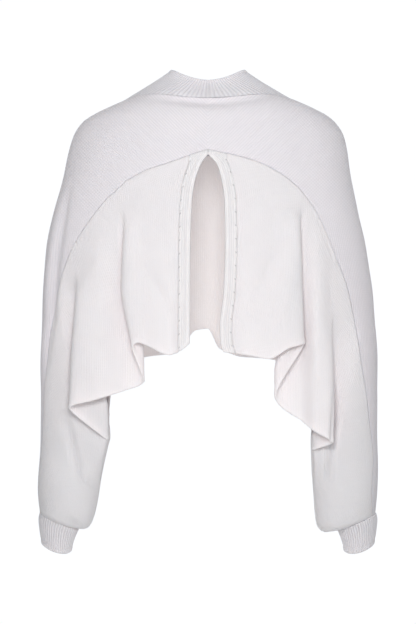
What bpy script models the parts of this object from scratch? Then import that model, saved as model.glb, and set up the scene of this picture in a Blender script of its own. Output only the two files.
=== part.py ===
"""Batwing jumper: a cropped knitted top with an open back, hollow, in the form it has when worn.

Metres, +Z up. The origin is at the base of the neck, between the shoulders. The back faces -Y, and the
garment's left side is at -X. Every piece is a thin wall cut from one surface. That surface is a stack of
sections, and a section runs from the centre back round one side to the centre front through named points:

    K   edge of the back opening, or the centre back above it      B1 B2 B3  back of the sleeve
    E   outer edge of the ribbed opening band                      O         outermost point
    C1 C2   fullness of the centre back                            F3 F2 F1  front of the sleeve
    R1 V1 U1   inner fold: ridge, valley, and the layer under it   J         front end of the sleeve
    M   middle of the hanging flap                                 G2 G H    lower front
    R2 W   outer fold: ridge, and valley where the sleeve starts   CF        centre front

A column is a place along a section, counted in these points, and a level is a section's height at the
sides. Both sides are alike in cut, and hang differently.
"""

from collections import namedtuple
from functools import cache

import bpy
import numpy as np

# Driving sizes
CLOTH = 0.0024  # thickness of the plain knit
RIB = 0.0030  # thickness of the ribbed bands and cuffs
SEAM_GAP = 0.0003  # between neighbouring pieces
BAND_WIDTH = 0.016  # ribbed band along the back opening
LEVEL_TILT_END = -0.150  # sections are level below this, and dip to the front neckline above it
SPREAD_END = -0.130  # down to here the points fan out from their places round the neck

POINTS = "K E C1 C2 R1 V1 U1 M R2 W B1 B2 B3 O F3 F2 F1 J G2 G H CF".split()
AT = {name: number for number, name in enumerate(POINTS)}

# Half-width of the whole garment at a level.
Outline = namedtuple("Outline", "level left right")
OUTLINE = [
    Outline(0.000, 0.124, 0.126),
    Outline(-0.008, 0.143, 0.149),
    Outline(-0.018, 0.164, 0.170),
    Outline(-0.030, 0.181, 0.184),
    Outline(-0.049, 0.193, 0.195),
    Outline(-0.075, 0.201, 0.201),
    Outline(-0.110, 0.209, 0.206),
    Outline(-0.160, 0.222, 0.216),
    Outline(-0.220, 0.233, 0.228),
    Outline(-0.290, 0.239, 0.239),
    Outline(-0.380, 0.241, 0.244),
    Outline(-0.500, 0.242, 0.245),
    Outline(-0.580, 0.245, 0.244),
    Outline(-0.615, 0.243, 0.242),
]

# How far the back and the front stand from the shoulder line at a level.
Depth = namedtuple("Depth", "level back front")
DEPTH = [
    Depth(0.000, 0.075, 0.088),
    Depth(-0.030, 0.090, 0.098),
    Depth(-0.075, 0.100, 0.108),
    Depth(-0.150, 0.107, 0.117),
    Depth(-0.300, 0.109, 0.120),
    Depth(-0.500, 0.104, 0.116),
]

# Half-width of the teardrop opening at a level. It starts at the top row.
Opening = namedtuple("Opening", "level left right")
OPENING = [
    Opening(-0.082, 0.0000, 0.0000),
    Opening(-0.086, 0.0045, 0.0055),
    Opening(-0.097, 0.0115, 0.0140),
    Opening(-0.122, 0.0200, 0.0210),
    Opening(-0.150, 0.0240, 0.0245),
    Opening(-0.210, 0.0262, 0.0255),
    Opening(-0.275, 0.0268, 0.0235),
    Opening(-0.330, 0.0270, 0.0180),
    Opening(-0.352, 0.0272, 0.0190),
    Opening(-0.366, 0.0272, 0.0235),
]

# The two folds of each side. Ridge and valley are distances from the middle at the three levels. The
# ridge stands out by lift and the valley is set in by inset, both grown from nothing at the top.
Fold = namedtuple("Fold", "top mid hem ridge_top ridge_mid ridge_hem valley_mid valley_hem lift inset")
FOLDS = {
    ("left", "inner"): Fold(-0.139, -0.270, -0.360, 0.117, 0.123, 0.107, 0.108, 0.093, 0.003, 0.017),
    ("left", "outer"): Fold(-0.240, -0.360, -0.440, 0.186, 0.197, 0.204, 0.170, 0.1445, 0.012, 0.031),
    ("right", "inner"): Fold(-0.130, -0.260, -0.390, 0.131, 0.134, 0.140, 0.116, 0.097, 0.003, 0.017),
    ("right", "outer"): Fold(-0.290, -0.420, -0.502, 0.176, 0.179, 0.179, 0.168, 0.153, 0.010, 0.026),
}
FoldRow = namedtuple("FoldRow", "level ridge valley under")
FOLD_PITCH = 0.008  # between the fold's points where it hasn't started yet
FLAP_LIFT = 0.004  # fullness in the middle of the hanging flap
BAND_OUTER_LEAST = 0.027  # least distance of the band's outer edge from the middle
EDGE_INSET = 0.010  # how far the edge of the opening turns in at the hem
BAND_INSET = 0.004  # and the band's outer edge
FULLNESS = 0.003  # of the centre back at the hem

# Level of the hem at the points of the back, and at those of the front.
HemPoint = namedtuple("HemPoint", "column level")
HEM = {
    "left": dict(K=-0.352, E=-0.364, C1=-0.368, C2=-0.3545, R1=-0.357, V1=-0.407, U1=-0.4205, M=-0.433,
                 R2=-0.445, W=-0.4915, J=-0.4915, G2=-0.404, G=-0.367, H=-0.333, CF=-0.331),
    "right": dict(K=-0.364, E=-0.366, C1=-0.3685, C2=-0.3737, R1=-0.352, V1=-0.427, U1=-0.462, M=-0.480,
                  R2=-0.493, W=-0.5045, J=-0.5045, G2=-0.410, G=-0.372, H=-0.360, CF=-0.331),
}

FRONT_HEM_SIDE = {"left": -0.373, "right": -0.376}  # level of the front's hem halfway from G2 to G
BACK_HEM_SIDE = {"left": -0.3505, "right": -0.357}  # and of the back's, halfway from C2 to R1

# Distance from the middle, at and above the inner fold's top, of the points that no other table places,
# and the angle round the neck, from centre back, at which each point starts.
UPPER_X = dict(C1=0.056, C2=0.088)
NECK_ANGLE = dict(C1=26, C2=40, R1=52, V1=56, U1=60, M=67, R2=74, W=77, B1=81, B2=84, B3=87, O=90,
                  F3=94, F2=98, F1=103, J=109, G2=122, G=152, H=168, CF=180)
SLEEVE_ANGLE = dict(B1=66, B2=74, B3=82, O=90, F3=98, F2=107, F1=116)  # on the sections above the folds
MOST_ANGLE = dict(R2=56, W=60, J=60)  # from the middle, so that the points stay in order at the shoulder
SOFTNESS = 0.03  # radians over which that limit is reached
BEHIND_FOLD_ANGLE = dict(B1=22, B2=45, B3=68)  # on the quarter of an ellipse behind the outer fold
RING_ANGLE = dict(W=0, B1=45, B2=90, B3=135, O=180, F3=225, F2=270, F1=315, J=360)  # round the sleeve
FRONT_X = dict(G2=0.140, G=0.046, H=0.017)
Spread = namedtuple("Spread", "level x")
FRONT_WING = [Spread(-0.150, 0.184), Spread(-0.300, 0.176), Spread(-0.420, 0.146), Spread(-0.505, 0.146)]

# The sleeve below the wing: inner side, half its depth from front to back, and its middle in depth.
Sleeve = namedtuple("Sleeve", "level left right half_depth middle")
SLEEVE = [
    Sleeve(-0.4900, 0.145, 0.152, 0.050, 0.000),
    Sleeve(-0.5200, 0.153, 0.153, 0.048, 0.001),
    Sleeve(-0.5650, 0.160, 0.154, 0.044, 0.004),
    Sleeve(-0.5950, 0.168, 0.158, 0.040, 0.008),
    Sleeve(-0.6090, 0.176, 0.166, 0.036, 0.010),
    Sleeve(-0.6155, 0.190, 0.184, 0.028, 0.010),
]
WING_Y = -0.050  # depth of the corner where the two hems meet
WING_FADE = 0.080  # length over which that corner rounds off, down the sleeve
WING_CLOSING = 0.090  # length over which front and back come together above it
SLEEVE_CLOSING = 0.150  # length over which the sleeve's front takes the ring's shape
WING_TURN = 0.050  # length over which the cloth turns to run round the sleeve there
WING_PULL = 0.30  # how much of its full bow the front keeps where it meets that corner
WRAP_LENGTH = 0.105  # length over which the front wraps round the inner side to the corner
WRAP_IN = 0.001  # how far inside the corner its wrapped point ends
WRAP_BACK = 0.015  # and how far behind it
CUFF_LEVEL = -0.6155

# The cuff's rings.
Cuff = namedtuple("Cuff", "level inner outer half_depth middle")
CUFF = [
    Cuff(-0.6155, 0.188, 0.2430, 0.0275, 0.010),
    Cuff(-0.6260, 0.192, 0.2445, 0.0270, 0.011),
    Cuff(-0.6400, 0.196, 0.2430, 0.0265, 0.012),
    Cuff(-0.6550, 0.199, 0.2400, 0.0260, 0.013),
]
# How much the sections rise towards the outer side and towards the front, over their distance from the
# slant's middle.
Slant = namedtuple("Slant", "level outward forward")
SLANT = [
    Slant(-0.500, 0.00, 0.00),
    Slant(-0.600, 0.38, 0.08),
    Slant(-0.6155, 0.42, 0.12),
    Slant(-0.655, 0.27, 0.30),
]
SLANT_MIDDLE = 0.205

# Arch seam of the back: the panel lies inside it and the yoke outside it.
Arch = namedtuple("Arch", "level left right")
ARCH = [
    Arch(-0.075, 0.000, 0.000),
    Arch(-0.083, 0.026, 0.036),
    Arch(-0.093, 0.051, 0.070),
    Arch(-0.104, 0.085, 0.093),
    Arch(-0.117, 0.110, 0.114),
    Arch(-0.149, 0.149, 0.146),
    Arch(-0.176, 0.170, 0.162),
    Arch(-0.218, 0.196, 0.179),
    Arch(-0.273, 0.216, 0.200),
    Arch(-0.336, 0.228, 0.213),
    Arch(-0.380, 0.2325, 0.220),
    Arch(-0.430, 0.2365, 0.2285),
    Arch(-0.500, 0.2395, 0.2365),
]
ARCH_STEPS = 60
# Lower down, the seam of the back and that of the front are set by columns.
ArchColumn = namedtuple("ArchColumn", "level column")
SLEEVE_ARCH_END = {"left": AT["F3"] - 0.55, "right": AT["B3"] + 0.35}
FRONT_ARCH = [
    ArchColumn(-0.049, AT["CF"]),
    ArchColumn(-0.051, AT["H"]),
    ArchColumn(-0.068, AT["G"]),
    ArchColumn(-0.130, AT["G2"]),
]
FRONT_SLEEVE_ARCH = [ArchColumn(-0.290, AT["F1"]), ArchColumn(-0.390, AT["F2"] + 0.2)]
FRONT_SLEEVE_ARCH_END = {"left": AT["F3"] + 0.45, "right": AT["F3"]}

# The neckband's free edge.
NECK_HALF_WIDTH = 0.0525
NECK_BACK = 0.044
NECK_FRONT = 0.062
NECK_EDGE_HEIGHT = dict(back=0.0265, side=0.043, front=-0.002)
NECK_SEAM_RISE = dict(back=0.001, side=-0.004, front=-0.040, shoulder=0.0075)
NECK_BULGE = -0.0015  # the band is hollow between its seam and its edge

# Where each piece's mesh has a line of points, as parts of the way from one named point to the next.
MESH_STEPS = dict(K=[0], E=[0], C1=[0, 0.5], C2=[0, 0.55, 0.88], R1=[0, 0.3, 0.7], V1=[0, 0.3], U1=[0],
                  M=[0, 0.5, 0.86], R2=[0, 0.12, 0.5, 0.88], J=[0, 0.5], G2=[0, 0.5], G=[0], H=[0, 0.5])
SLEEVE_COLUMNS = dict(back=6, strip=8, front=6)
YOKE_ROWS = 8
YOKE_CROWD = 1.3  # the yoke's rows are closer together at the neck
PANEL_ROWS = 11
SLEEVE_ROWS = 6
BAND_ROWS = 3

Look = namedtuple("Look", "colour roughness")
LOOKS = {
    "plain": Look((0.87, 0.84, 0.83), 0.90),
    "textured": Look((0.80, 0.78, 0.78), 0.95),
    "ribbed": Look((0.76, 0.74, 0.74), 0.92),
}


def between(table, column, level):
    """The value of a table's column at a level, on a smooth curve that never overshoots its rows."""
    rows = sorted(table, key=lambda row: row[0])
    known = np.array([row[0] for row in rows])
    value = np.array([getattr(row, column) for row in rows])
    step = np.diff(known)
    rise = np.diff(value) / step
    slope = np.zeros(len(rows))
    slope[0], slope[-1] = rise[0], rise[-1]
    for i in range(1, len(rows) - 1):
        if rise[i - 1] * rise[i] > 0:
            slope[i] = 2 * rise[i - 1] * rise[i] / (rise[i - 1] + rise[i])
    level = np.clip(level, known[0], known[-1])
    at = np.clip(np.searchsorted(known, level, side="right") - 1, 0, len(rows) - 2)
    part = (level - known[at]) / step[at]
    return hermite(value[at], value[at + 1], slope[at] * step[at], slope[at + 1] * step[at], part)


def hermite(start, end, start_slope, end_slope, part):
    """A cubic from start to end, with its slopes given over the whole way."""
    return (
        start * (1 + 2 * part) * (1 - part) ** 2
        + start_slope * part * (1 - part) ** 2
        + end * part**2 * (3 - 2 * part)
        - end_slope * part**2 * (1 - part)
    )


def ease(level, start, end):
    """0 at the start, 1 at the end, smooth at both."""
    part = np.clip((level - start) / (end - start), 0, 1)
    return part * part * (3 - 2 * part)


def mix(a, b, part):
    return a + (b - a) * part


def soft_least(angle, most):
    """The angle where it is well under the most, and the most where it is well over, smooth between."""
    return -SOFTNESS * np.log(np.exp(-angle / SOFTNESS) + np.exp(-most / SOFTNESS))


def back_y(x, width, depth):
    return -depth * np.sqrt(np.clip(1 - (x / width) ** 2, 0, 1))


def fold_x(fold, level):
    """Ridge, valley and under-layer of a fold, as distances from the middle."""
    rows = [
        FoldRow(fold.top, fold.ridge_top, fold.ridge_top + FOLD_PITCH, fold.ridge_top + 2 * FOLD_PITCH),
        FoldRow(fold.mid, fold.ridge_mid, fold.valley_mid, fold.ridge_mid + 0.5 * FOLD_PITCH),
        FoldRow(fold.hem, fold.ridge_hem, fold.valley_hem, fold.ridge_mid),
    ]
    return [between(rows, column, level) for column in ("ridge", "valley", "under")]


def section(side, level):
    """Distance from the middle and depth of the named points, for an array of levels."""
    level = np.asarray(level, float)
    width = between(OUTLINE, side, level)
    depth = between(DEPTH, "back", level)
    front = between(DEPTH, "front", level)
    x, y = {}, {}

    inner, outer = FOLDS[side, "inner"], FOLDS[side, "outer"]
    grown_1 = ease(level, inner.top, inner.hem)
    grown_2 = ease(level, outer.top, outer.hem)
    x["K"] = np.where(level > OPENING[0].level, 0, between(OPENING, side, level))
    x["E"] = np.maximum(x["K"] + BAND_WIDTH, BAND_OUTER_LEAST)
    x["C1"], x["C2"] = UPPER_X["C1"], UPPER_X["C2"]
    x["R1"], x["V1"], x["U1"] = fold_x(inner, level)
    x["R2"], x["W"], _ = fold_x(outer, level)
    x["M"] = (x["U1"] + x["R2"]) / 2
    x["J"] = between(FRONT_WING, "x", level)
    x.update(FRONT_X, CF=0.0)

    # The points fan out from the neck to their places lower down.
    spread = ease(level, 0.0, SPREAD_END)
    for name, degrees in NECK_ANGLE.items():
        neck = np.radians(degrees)
        if name in SLEEVE_ANGLE:
            lower = np.radians(SLEEVE_ANGLE[name])
        else:
            lower = np.arcsin(np.clip(x[name] / width, 0, 1))
            lower = soft_least(lower, np.radians(MOST_ANGLE.get(name, 90)))
            lower = np.pi - lower if AT[name] > AT["O"] else lower
        angle = mix(neck, lower, spread)
        if name in SLEEVE_ANGLE:
            x[name] = width * np.sin(angle)
        else:
            x[name] = np.where(spread < 1, width * np.sin(angle), np.minimum(x[name], width * np.sin(lower)))
        shape = depth if AT[name] <= AT["O"] else -front
        y[name] = back_y(x[name], width, shape)
    for name in ("K", "E"):
        y[name] = back_y(x[name], width, depth)

    y["K"] = y["K"] + EDGE_INSET * grown_1
    y["E"] = y["E"] + BAND_INSET * grown_1
    y["C1"] = y["C1"] - FULLNESS * grown_1
    y["C2"] = y["C2"] - FULLNESS * grown_1
    y["R1"] = y["R1"] - inner.lift * grown_1
    y["V1"] = y["V1"] + inner.inset * grown_1
    y["U1"] = y["U1"] + inner.inset * grown_1
    y["M"] = y["M"] - FLAP_LIFT * grown_1
    y["R2"] = y["R2"] - outer.lift * grown_2
    y["W"] = y["W"] + outer.inset * grown_2

    for name, degrees in BEHIND_FOLD_ANGLE.items():
        turn = np.radians(degrees)
        x[name] = mix(x[name], mix(x["W"], width, np.sin(turn)), grown_2)
        y[name] = mix(y[name], y["W"] * np.cos(turn), grown_2)

    # Towards the wing corner the front closes on the back, and below it the sleeve is a ring.
    wing = HEM[side]["W"]
    closed = ease(level, wing + SLEEVE_CLOSING, wing)
    shut = ease(level, wing + WING_CLOSING, wing)
    ring = ease(level, wing, wing - WING_FADE)
    hang = between(SLEEVE, side, level)
    deep = between(SLEEVE, "half_depth", level)
    middle = between(SLEEVE, "middle", level)
    centre, half = (width + hang) / 2, (width - hang) / 2
    wrap = ease(level, wing + WRAP_LENGTH, wing)
    y["J"] = mix(y["J"], WING_Y, shut)
    y["W"] = mix(y["W"], WING_Y, shut)
    x["J"] = mix(x["J"], hang, shut)
    x["W"] = mix(x["W"], hang, shut)
    y["G2"] = mix(y["G2"], WING_Y - WRAP_BACK, wrap)
    x["G2"] = mix(x["G2"], hang - WRAP_IN, wrap)
    for name, degrees in RING_ANGLE.items():
        part = closed if name in ("F3", "F2", "F1") else ring
        turn = np.radians(degrees)
        x[name] = mix(x[name], centre - half * np.cos(turn), part)
        y[name] = mix(y[name], middle - deep * np.sin(turn), part)
    below = level < wing + 1e-6
    for name, other in (("R2", "F1"), ("G2", "B1")):
        x[name] = np.where(below, x[other], x[name])
        y[name] = np.where(below, y[other], y[name])
    blank = np.zeros_like(level)
    return (np.stack([x[name] + blank for name in POINTS], -1),
            np.stack([y[name] + blank for name in POINTS], -1))


def seam_rise(angle):
    """Height of the neck seam over its section, by the angle round the neck from centre back."""
    rise = NECK_SEAM_RISE
    behind = mix(rise["back"], rise["side"], np.sin(angle) ** 2) + rise["shoulder"] * np.sin(2 * angle) ** 2
    ahead = mix(rise["side"], rise["front"], np.cos(angle) ** 2)
    return np.where(angle < np.pi / 2, behind, ahead)


def surface(side, column, level):
    """The cloth's middle surface at columns and levels, as points."""
    column, level = np.broadcast_arrays(np.asarray(column, float), np.asarray(level, float))
    flat_column, flat_level = column.ravel(), level.ravel()
    x, y = section(side, flat_level)
    chord = np.stack([np.diff(x, axis=1), np.diff(y, axis=1)], -1)
    length = np.linalg.norm(chord, axis=-1, keepdims=True)
    unit = chord / length
    way = np.zeros(x.shape + (2,))
    way[:, 1:-1] = unit[:, :-1] + unit[:, 1:]
    way[:, 0] = (1, 0)
    way[:, -1] = (-1, 0)
    way /= np.linalg.norm(way, axis=-1, keepdims=True) + 1e-12
    ends = np.stack([x, y], -1)
    wing = HEM[side]["W"]
    turned = ease(flat_level, wing + WING_TURN, wing)[:, None]
    leave, arrive = way.copy(), way.copy()
    for name, side_way in (("W", leave), ("J", arrive)):
        here = ends[:, AT[name]]
        round_way = np.zeros_like(here)
        for start, end in ((ends[:, AT["F1"]], here), (here, ends[:, AT["B1"]])):
            round_way += (end - start) / (np.linalg.norm(end - start, axis=1, keepdims=True) + 1e-12)
        turn_way = mix(way[:, AT[name]], round_way, turned)
        side_way[:, AT[name]] = turn_way / (np.linalg.norm(turn_way, axis=1, keepdims=True) + 1e-12)
    corner = turned[:, 0] * (1 - ease(flat_level, wing, wing - WING_FADE))
    arrive[:, AT["J"]] *= mix(1, WING_PULL, corner)[:, None]
    at = np.clip(flat_column.astype(int), 0, len(POINTS) - 2)
    part = (flat_column - at)[:, None]
    each = np.arange(len(at))
    reach = length[each, at]
    start_way, end_way = leave[each, at] * reach, arrive[each, at + 1] * reach
    place = hermite(ends[each, at], ends[each, at + 1], start_way, end_way, part)
    out, deep = place[:, 0], place[:, 1]

    width = between(OUTLINE, side, flat_level)
    depth = np.where(deep < 0, between(DEPTH, "back", flat_level), between(DEPTH, "front", flat_level))
    angle = np.arctan2(np.abs(out) / width, -deep / depth)
    fade = np.clip(1 - flat_level / LEVEL_TILT_END, 0, 1)
    height = flat_level + seam_rise(angle) * fade
    slant_out = between(SLANT, "outward", flat_level)
    slant_forward = between(SLANT, "forward", flat_level)
    height = height + slant_out * (out - SLANT_MIDDLE) + slant_forward * deep
    points = np.stack([out * (-1 if side == "left" else 1), deep, height], -1)
    return points.reshape(column.shape + (3,))


def outward(side, column, level):
    """Unit normals of the middle surface, facing out."""
    step, drop = 2e-3, 2e-4
    column = np.asarray(column, float)
    level = np.asarray(level, float)
    last = len(POINTS) - 1
    ahead, behind = np.minimum(column + step, last), np.maximum(column - step, 0)
    seam = np.isin(column, (AT["W"], AT["J"])) & (level < HEM[side]["W"] + drop)
    ahead, behind = np.where(seam, AT["W"] + step, ahead), np.where(seam, AT["J"] - step, behind)
    along = surface(side, ahead, level) - surface(side, behind, level)
    down = surface(side, column, level - drop) - surface(side, column, level + drop)
    normal = np.cross(along, down) if side == "left" else np.cross(down, along)
    on_middle = (column <= 0) & (level > OPENING[0].level) | (column >= last)
    normal[..., 0] = np.where(on_middle, 0, normal[..., 0])
    return normal / np.linalg.norm(normal, axis=-1, keepdims=True)


@cache
def arch_rows(side):
    """The arch seam of the back as rows of level and column, from the centre back down to the cuff."""
    fine = np.linspace(0, AT["O"], 400)
    found = []
    for level in np.linspace(ARCH[0].level, ARCH[-1].level, ARCH_STEPS):
        distance = between(ARCH, side, level)
        across = np.abs(surface(side, fine, level)[:, 0])
        found.append(ArchColumn(level, np.interp(distance, across, fine) if distance > 0 else 0.0))
    lower = [found[-4], found[-1], ArchColumn(CUFF_LEVEL, SLEEVE_ARCH_END[side])]
    for level in np.linspace(ARCH[-1].level, CUFF_LEVEL, ARCH_STEPS // 4)[1:]:
        found.append(ArchColumn(level, float(between(lower, "column", level))))
    return found


@cache
def front_arch_rows(side):
    end = ArchColumn(CUFF_LEVEL, FRONT_SLEEVE_ARCH_END[side])
    return FRONT_ARCH + [ArchColumn(sleeve_top(side), AT["J"])] + FRONT_SLEEVE_ARCH + [end]


def seam_level(rows, column):
    rows = sorted(rows, key=lambda row: row.column)
    return float(np.interp(column, [row.column for row in rows], [row.level for row in rows]))


def seam_column(rows, level):
    rows = sorted(rows, key=lambda row: row.level)
    return float(np.interp(level, [row.level for row in rows], [row.column for row in rows]))


@cache
def sleeve_top(side):
    """Level at which the sleeve's own back and front begin, in the fork between arch seam and fold."""
    return seam_level(arch_rows(side), AT["W"])


def hem_level(side, column):
    rows = [HemPoint(AT[name], HEM[side][name]) for name in POINTS if name in HEM[side]]
    rows.append(HemPoint(AT["G2"] + 0.5, FRONT_HEM_SIDE[side]))
    rows.append(HemPoint(AT["C2"] + 0.5, BACK_HEM_SIDE[side]))
    rows.append(HemPoint(2 * AT["CF"] - AT["H"], HEM[side]["H"]))  # so that it is level at the centre front
    return float(between(rows, "level", column))


def steps_between(first, last):
    """The mesh's columns from one named point to another."""
    columns = [
        AT[name] + part
        for name in POINTS[AT[first] : AT[last]]
        for part in MESH_STEPS[name]
    ]
    return columns + [AT[last]]


def sleeve_levels(side):
    """Levels of the sleeve's rows, with one at the wing corner and the last at the cuff."""
    top, wing = sleeve_top(side), HEM[side]["W"]
    return run_down(top, wing, PANEL_ROWS) + run_down(wing, CUFF_LEVEL, SLEEVE_ROWS)[1:]


def run_down(top, bottom, rows, crowd=1.0):
    """Levels from top to bottom, closer together at the top where crowd is over 1."""
    return [mix(top, bottom, (i / rows) ** crowd) for i in range(rows + 1)]


def sleeve_part(side, part):
    """Columns of one part of the sleeve, a list for each of its rows."""
    back, front = arch_rows(side), front_arch_rows(side)
    found = []
    for level in sleeve_levels(side):
        ends = {
            "back": (AT["W"], seam_column(back, level)),
            "strip": (seam_column(back, level), seam_column(front, level)),
            "front": (seam_column(front, level), AT["J"]),
        }[part]
        if level == sleeve_top(side):
            ends = {"back": (AT["W"], AT["W"]), "strip": (AT["W"], AT["J"]), "front": (AT["J"], AT["J"])}[part]
        found.append(list(np.linspace(*ends, SLEEVE_COLUMNS[part] + 1)))
    return found


class Sheet:
    """Points of the middle surface with their normals, and the faces between them."""

    def __init__(self):
        self.number = {}
        self.points = []
        self.normals = []
        self.faces = []

    def point(self, key, place, normal):
        if key not in self.number:
            self.number[key] = len(self.points)
            self.points.append(place)
            self.normals.append(normal)
        return self.number[key]

    def grid(self, side, columns, levels):
        """Joins a grid. Both arrays have a row for each column of points, from the top down."""
        columns, levels = np.broadcast_arrays(np.array(columns, float), np.array(levels, float))
        places = surface(side, columns, levels)
        normals = outward(side, columns, levels)
        index = np.zeros(levels.shape, int)
        for i, j in np.ndindex(levels.shape):
            half = "middle" if columns[i, j] in (0, AT["CF"]) else side
            key = (half, round(columns[i, j], 4), round(levels[i, j], 6))
            index[i, j] = self.point(key, places[i, j], normals[i, j])
        self.weave(index, side == "left")

    def weave(self, index, forward):
        for i in range(index.shape[0] - 1):
            for j in range(index.shape[1] - 1):
                corners = [index[i, j], index[i + 1, j], index[i + 1, j + 1], index[i, j + 1]]
                corners = list(dict.fromkeys(corners))
                if len(corners) > 2:
                    self.faces.append(corners if forward else corners[::-1])


def drawn_in(sheet, distance):
    """The sheet's points with its edges moved in along the cloth."""
    points = np.array(sheet.points)
    normals = np.array(sheet.normals)
    sides = {}
    for face in sheet.faces:
        for a, b in zip(face, face[1:] + face[:1]):
            sides[a, b] = face
    push = {}
    for (a, b), face in sides.items():
        if (b, a) in sides:
            continue
        edge = points[b] - points[a]
        edge /= np.linalg.norm(edge)
        inward = points[face].mean(axis=0) - (points[a] + points[b]) / 2
        inward -= edge * (inward @ edge)
        inward /= np.linalg.norm(inward)
        push.setdefault(a, []).append(inward)
        push.setdefault(b, []).append(inward)
    points = points.copy()
    for vertex, ways in push.items():
        total = np.sum(ways, axis=0)
        size = np.linalg.norm(total)
        points[vertex] += total / size * min(distance * len(ways) / size, 2 * distance)
    open_edges = [edge for edge in sides if edge[::-1] not in sides]
    return points, normals, open_edges


def make_wall(name, sheet, thickness, look):
    """One closed thin wall round the sheet, half its thickness to each side."""
    points, normals, open_edges = drawn_in(sheet, SEAM_GAP / 2)
    half = thickness / 2
    count = len(points)
    vertices = np.concatenate([points + normals * half, points - normals * half])
    faces = [list(face) for face in sheet.faces]
    faces += [[corner + count for corner in face[::-1]] for face in sheet.faces]
    for a, b in open_edges:  # neighbours split their edge faces alike, from the upper outer corner
        if points[a][2] > points[b][2]:
            faces += [[b, a, b + count], [a, a + count, b + count]]
        else:
            faces += [[b, a, a + count], [b, a + count, b + count]]
    mesh = bpy.data.meshes.new(name)
    mesh.from_pydata(vertices.tolist(), [], faces)
    mesh.validate()
    made = bpy.data.objects.new(name, mesh)
    bpy.context.scene.collection.objects.link(made)
    mesh.shade_smooth()
    mesh.set_sharp_from_angle(angle=np.radians(50))
    material = bpy.data.materials.new(name)
    material.use_nodes = True
    shader = material.node_tree.nodes["Principled BSDF"]
    shader.inputs["Base Color"].default_value = (*LOOKS[look].colour, 1)
    shader.inputs["Roughness"].default_value = LOOKS[look].roughness
    shader.inputs["Metallic"].default_value = 0
    mesh.materials.append(material)
    return made


def panel(sheet, side, columns, top, bottom):
    """Adds a panel whose columns run from top(column) down to bottom(column)."""
    levels = [run_down(top(column), bottom(column), PANEL_ROWS) for column in columns]
    sheet.grid(side, np.array(columns)[:, None], levels)


def sleeve(sheet, side, part):
    """Adds one part of the sleeve, from the fork down to the cuff."""
    sheet.grid(side, np.array(sleeve_part(side, part)).T, sleeve_levels(side))


def build_yoke():
    sheet = Sheet()
    for side in ("left", "right"):
        back, front = arch_rows(side), front_arch_rows(side)
        top = sleeve_top(side)
        across = list(np.linspace(AT["W"], AT["J"], SLEEVE_COLUMNS["strip"] + 1))
        levels = []
        columns = steps_between("K", "W")[:-1] + across + steps_between("J", "CF")[1:]
        for column in columns:
            if column < AT["W"]:
                bottom = seam_level(back, column)
            elif column > AT["J"]:
                bottom = seam_level(front, column)
            else:
                bottom = top
            levels.append(run_down(0, bottom, YOKE_ROWS, YOKE_CROWD))
        sheet.grid(side, np.array(columns)[:, None], levels)
        sleeve(sheet, side, "strip")
    make_wall("yoke", sheet, CLOTH, "textured")


def build_back(side):
    sheet = Sheet()
    seam = arch_rows(side)
    panel(sheet, side, steps_between("E", "W"), lambda c: seam_level(seam, c), lambda c: hem_level(side, c))
    sleeve(sheet, side, "back")
    make_wall(f"back_{side}", sheet, CLOTH, "plain")


def build_front():
    sheet = Sheet()
    for side in ("left", "right"):
        seam = front_arch_rows(side)
        panel(sheet, side, steps_between("J", "CF"), lambda c: seam_level(seam, c), lambda c: hem_level(side, c))
        sleeve(sheet, side, "front")
    make_wall("front", sheet, CLOTH, "plain")


def build_opening_band(side):
    sheet = Sheet()
    seam = arch_rows(side)
    panel(sheet, side, [AT["K"], AT["E"]], lambda c: seam_level(seam, c), lambda c: hem_level(side, c))
    make_wall(f"opening_band_{side}", sheet, CLOTH, "ribbed")


def neck_edge(angle, side):
    """The neckband's free edge, by the angle round the neck from centre back."""
    height = NECK_EDGE_HEIGHT
    behind = mix(height["back"], height["side"], np.sin(angle) ** 2)
    ahead = mix(height["side"], height["front"], np.cos(angle) ** 2)
    reach = np.where(angle < np.pi / 2, NECK_BACK, NECK_FRONT)
    sign = -1 if side == "left" else 1
    return np.stack([
        sign * NECK_HALF_WIDTH * np.sin(angle),
        -reach * np.cos(angle),
        np.where(angle < np.pi / 2, behind, ahead),
    ], -1)


def build_neckband():
    """Rows of points from the neck seam up to the free edge, the same columns as the yoke's."""
    rings = [[] for _ in range(BAND_ROWS + 1)]
    seam_normals = []
    for side in ("left", "right"):
        across = list(np.linspace(AT["W"], AT["J"], SLEEVE_COLUMNS["strip"] + 1))
        columns = np.array(steps_between("K", "W")[:-1] + across + steps_between("J", "CF")[1:])
        if side == "right":
            columns = columns[-2:0:-1]
        seam = surface(side, columns, 0.0)
        angle = np.arctan2(np.abs(seam[:, 0]) / between(OUTLINE, side, 0.0), -seam[:, 1] / np.where(
            seam[:, 1] < 0, DEPTH[0].back, DEPTH[0].front))
        edge = neck_edge(angle, side)
        normals = outward(side, columns, 0.0)
        seam_normals.append(normals)
        for row in range(BAND_ROWS + 1):
            part = row / BAND_ROWS
            bulge = NECK_BULGE * np.sin(np.pi * part) * normals
            rings[row].append(mix(seam, edge, part) + bulge)
    rings = [np.concatenate(ring) for ring in rings]
    seam_normals = np.concatenate(seam_normals)
    sheet = Sheet()
    count = len(rings[0])
    index = np.zeros((count, BAND_ROWS + 1), int)
    for row, ring in enumerate(rings):
        round_way = np.roll(ring, -1, axis=0) - np.roll(ring, 1, axis=0)
        up = rings[min(row + 1, BAND_ROWS)] - rings[max(row - 1, 0)]
        normals = np.cross(up, round_way)
        normals /= np.linalg.norm(normals, axis=1, keepdims=True)
        if row == 0:
            normals = seam_normals
        for i in range(count):
            index[i, row] = sheet.point((i, row), ring[i], normals[i])
    index = np.concatenate([index, index[:1]])
    sheet.weave(index[:, ::-1], True)
    make_wall("neckband", sheet, RIB, "ribbed")


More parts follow.
